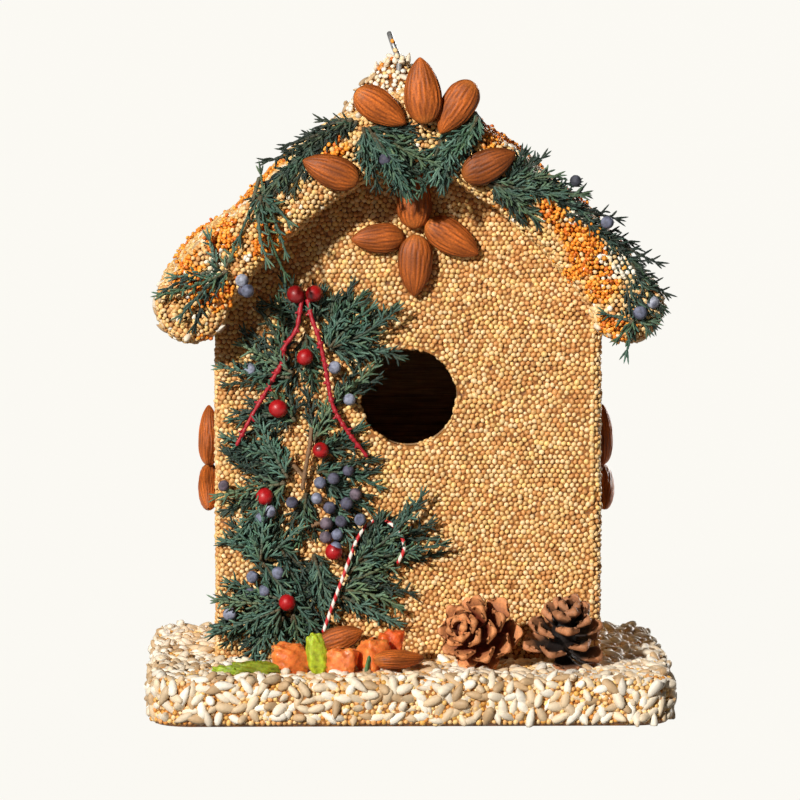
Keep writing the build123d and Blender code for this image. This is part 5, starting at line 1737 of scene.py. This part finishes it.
def cone_core(length, dark, cell, grid):
    """The core that the scales stand on: points, triangles, colours and UVs."""
    profile = [(-0.5, 0), (0.5, 5.0), (length * 0.4, 5.2), (length * 0.8, 2.8), (length * 0.95, 0)]
    core, faces = template(profile, 16)
    spread = core[:, [0, 2]] / [12.0, length + 2.0] + [0.5, 0.1]
    uvs = (cell + 0.05 + spread[faces.ravel()] * 0.8) / grid
    # The core is half as bright as the scales' roots: painted shade deep inside the cone
    return core, faces, np.tile(np.array(dark) * 0.5, (len(core), 1)), uvs


def fitted(points, low, high):
    """Points scaled to stand 3 mm higher than a box and centred on it, but no more than
    2 mm down into the base."""
    points = points * ((high[2] - low[2] + 3.0) / np.ptp(points[:, 2]))
    points += (low + high) / 2 - (points.min(axis=0) + points.max(axis=0)) / 2
    points[:, 2] = np.maximum(points[:, 2], BASE_TOP - 2.0)
    return points


def pinecone(node, x_dir, z_dir, reach, dark, tip, count=28, length=24.0):
    """An open cone: scales in a golden-angle spiral round a core, wide below and closing
    upward, tipped so that its axis lies along z_dir, a little higher than the CAD's."""
    z_axis = unit(np.array(z_dir))
    x_axis = unit(np.array(x_dir) - z_axis * np.dot(x_dir, z_axis))
    turned = np.stack([x_axis, np.cross(z_axis, x_axis), z_axis], axis=1)
    verts, faces, tints, uvs = [], [], [], []
    grid = math.ceil(math.sqrt(count + 1))
    for index in range(count):
        share = (index + 0.5) / count
        swell = math.sqrt(max(0.05, 1.0 - ((share - 0.30) / 0.95) ** 2))
        tip_reach = reach * swell * (1.0 - 0.25 * share) * rng.uniform(0.9, 1.08)
        width = 2.0 * reach * (0.36 - 0.16 * share)
        points, quads, colour = cone_scale(tip_reach, width, reach * 0.10, dark, tip)
        lift = math.radians(-16.0 + 92.0 * share)
        axes = scale_axes(index * math.radians(GOLDEN_ANGLE), lift, rng.normal(0, 0.1))
        verts.append(points @ axes + [0, 0, length * (0.10 + 0.60 * share)])
        faces.append(quads + index * len(points))
        tints.append(colour * rng.uniform(0.82, 1.15))
        cell = np.array([index % grid, index // grid])
        uvs.append(scale_uvs(points, quads, [tip_reach, width], cell, grid))
    cell = np.array([count % grid, count // grid])
    core, triads, colour, core_uvs = cone_core(length, dark, cell, grid)
    whole = fitted(np.concatenate([*verts, core]) @ turned.T, *mm_box(node))
    groups = [np.concatenate(faces), triads + count * len(points)]
    tints, uvs = np.concatenate([*tints, colour]), np.concatenate([*uvs, core_uvs])
    mesh = new_mesh(f"{node}_scales", whole, groups, tints, uvs)
    piece(f"{node}_scales", mesh, "cone", (node,))


def pinecones():
    """Two cones side by side on the right of the apron: a warm brown one and a dark one, each with painted
    shade, near black on the dark one, between its scales.
    """
    dark, tip = linear(112, 44, 18), linear(226, 150, 94)
    pinecone("pinecone_left", (0.9, -0.4, 0.2), (-0.5, -0.8, 0.3), 16.5, dark, tip)
    dark, tip = linear(30, 16, 11), linear(184, 124, 84)
    pinecone("pinecone_right", (0.9, 0.2, -0.2), (0.16, -0.42, 0.9), 17.5, dark, tip)


# -------------------- hanger


# The wire's radius, and the height at which it leaves the heap and starts to lean
WIRE_RADIUS = 1.1
MOUND_TOP = 251.5
def hanger_run(lean, front, back, foot, top):
    """The wire's path: a hooked foot, a leg, a half loop that leans left, and the same
    backward behind."""
    bend = MOUND_TOP + (top - MOUND_TOP) * 0.55
    leg = [
        (0, -11.0, foot), (0, -3.0, foot), (0, -0.4, foot + 2.4), (0, 0.0, foot + 8.0),
        (0, 0.0, MOUND_TOP - 8.0), (0, 0.0, MOUND_TOP), (0.55, 1.0, bend), (0.97, 4.8, top - 0.4),
    ]
    ahead = [(HANGER_X - lean * share, front + inward, z) for share, inward, z in leg]
    behind = [(HANGER_X - lean * share, back - inward, z) for share, inward, z in reversed(leg)]
    return [*ahead, (HANGER_X - lean, HANGER_Y, top), *behind]


def hanger():
    """The wire loop, smooth and round, with a few seeds stuck to it."""
    low, high = mm_box("hanger_wire")
    front, back = HANGER_Y - 7.5, HANGER_Y + 7.5
    foot, top = low[2] + WIRE_RADIUS, high[2] - WIRE_RADIUS
    lean = (top + WIRE_RADIUS - MOUND_TOP) * math.tan(math.radians(17.0))
    run = hanger_run(lean, front, back, foot, top)
    nodes = ("hanger_wire",)
    stick("hanger_loop", run, WIRE_RADIUS, 220, 16, (1, 1, 1), "wire", nodes)
    seeds = [
        (0.72, 0.0, front + 0.6, 7.2), (0.40, 0.0, front - 0.6, 3.6), (0.18, 0.0, front - 1.0, 1.4),
        (0.0, -1.4, front - 0.8, -0.6), (0.0, 1.4, front - 0.8, 0.4), (0.5, 0.0, back + 0.8, 4.8),
        (0.0, 0.8, back + 1.0, 1.0),
    ]
    stuck = [(HANGER_X - lean * share + aside, y, MOUND_TOP + up) for share, aside, y, up in seeds]
    gold, (pale, _, light), (white, cream, _) = ORANGE_TINTS[0], MILLET_TINTS[:3], CREAM_TINTS
    tints = np.array([gold, light, cream, white, cream, pale, white])
    facings = np.tile([-0.2, -0.9, 0.2], (len(stuck), 1))
    millet("hanger_millet", np.array(stuck), unit(facings), tints)


almonds()
for title, sprays in GARLAND.items():
    juniper(f"{title}_leaves", GABLE, sprays, (title,), under=1.2)
for title, sprays in ROOF_SPRAYS.items():
    juniper(f"{title}_leaves", ROOF_END, sprays, (title,), under=0.0)
brown_stems()
red_berries()
blue_berries()
red_twigs()
candy_cane()
dried_fruit()
pinecones()
hanger()

# -------------------- finish

visual_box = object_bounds()
boxes = {"cad": cad_box, "visual": visual_box}
{key: [list(map(float, corner)) for corner in box] for key, box in boxes.items()}
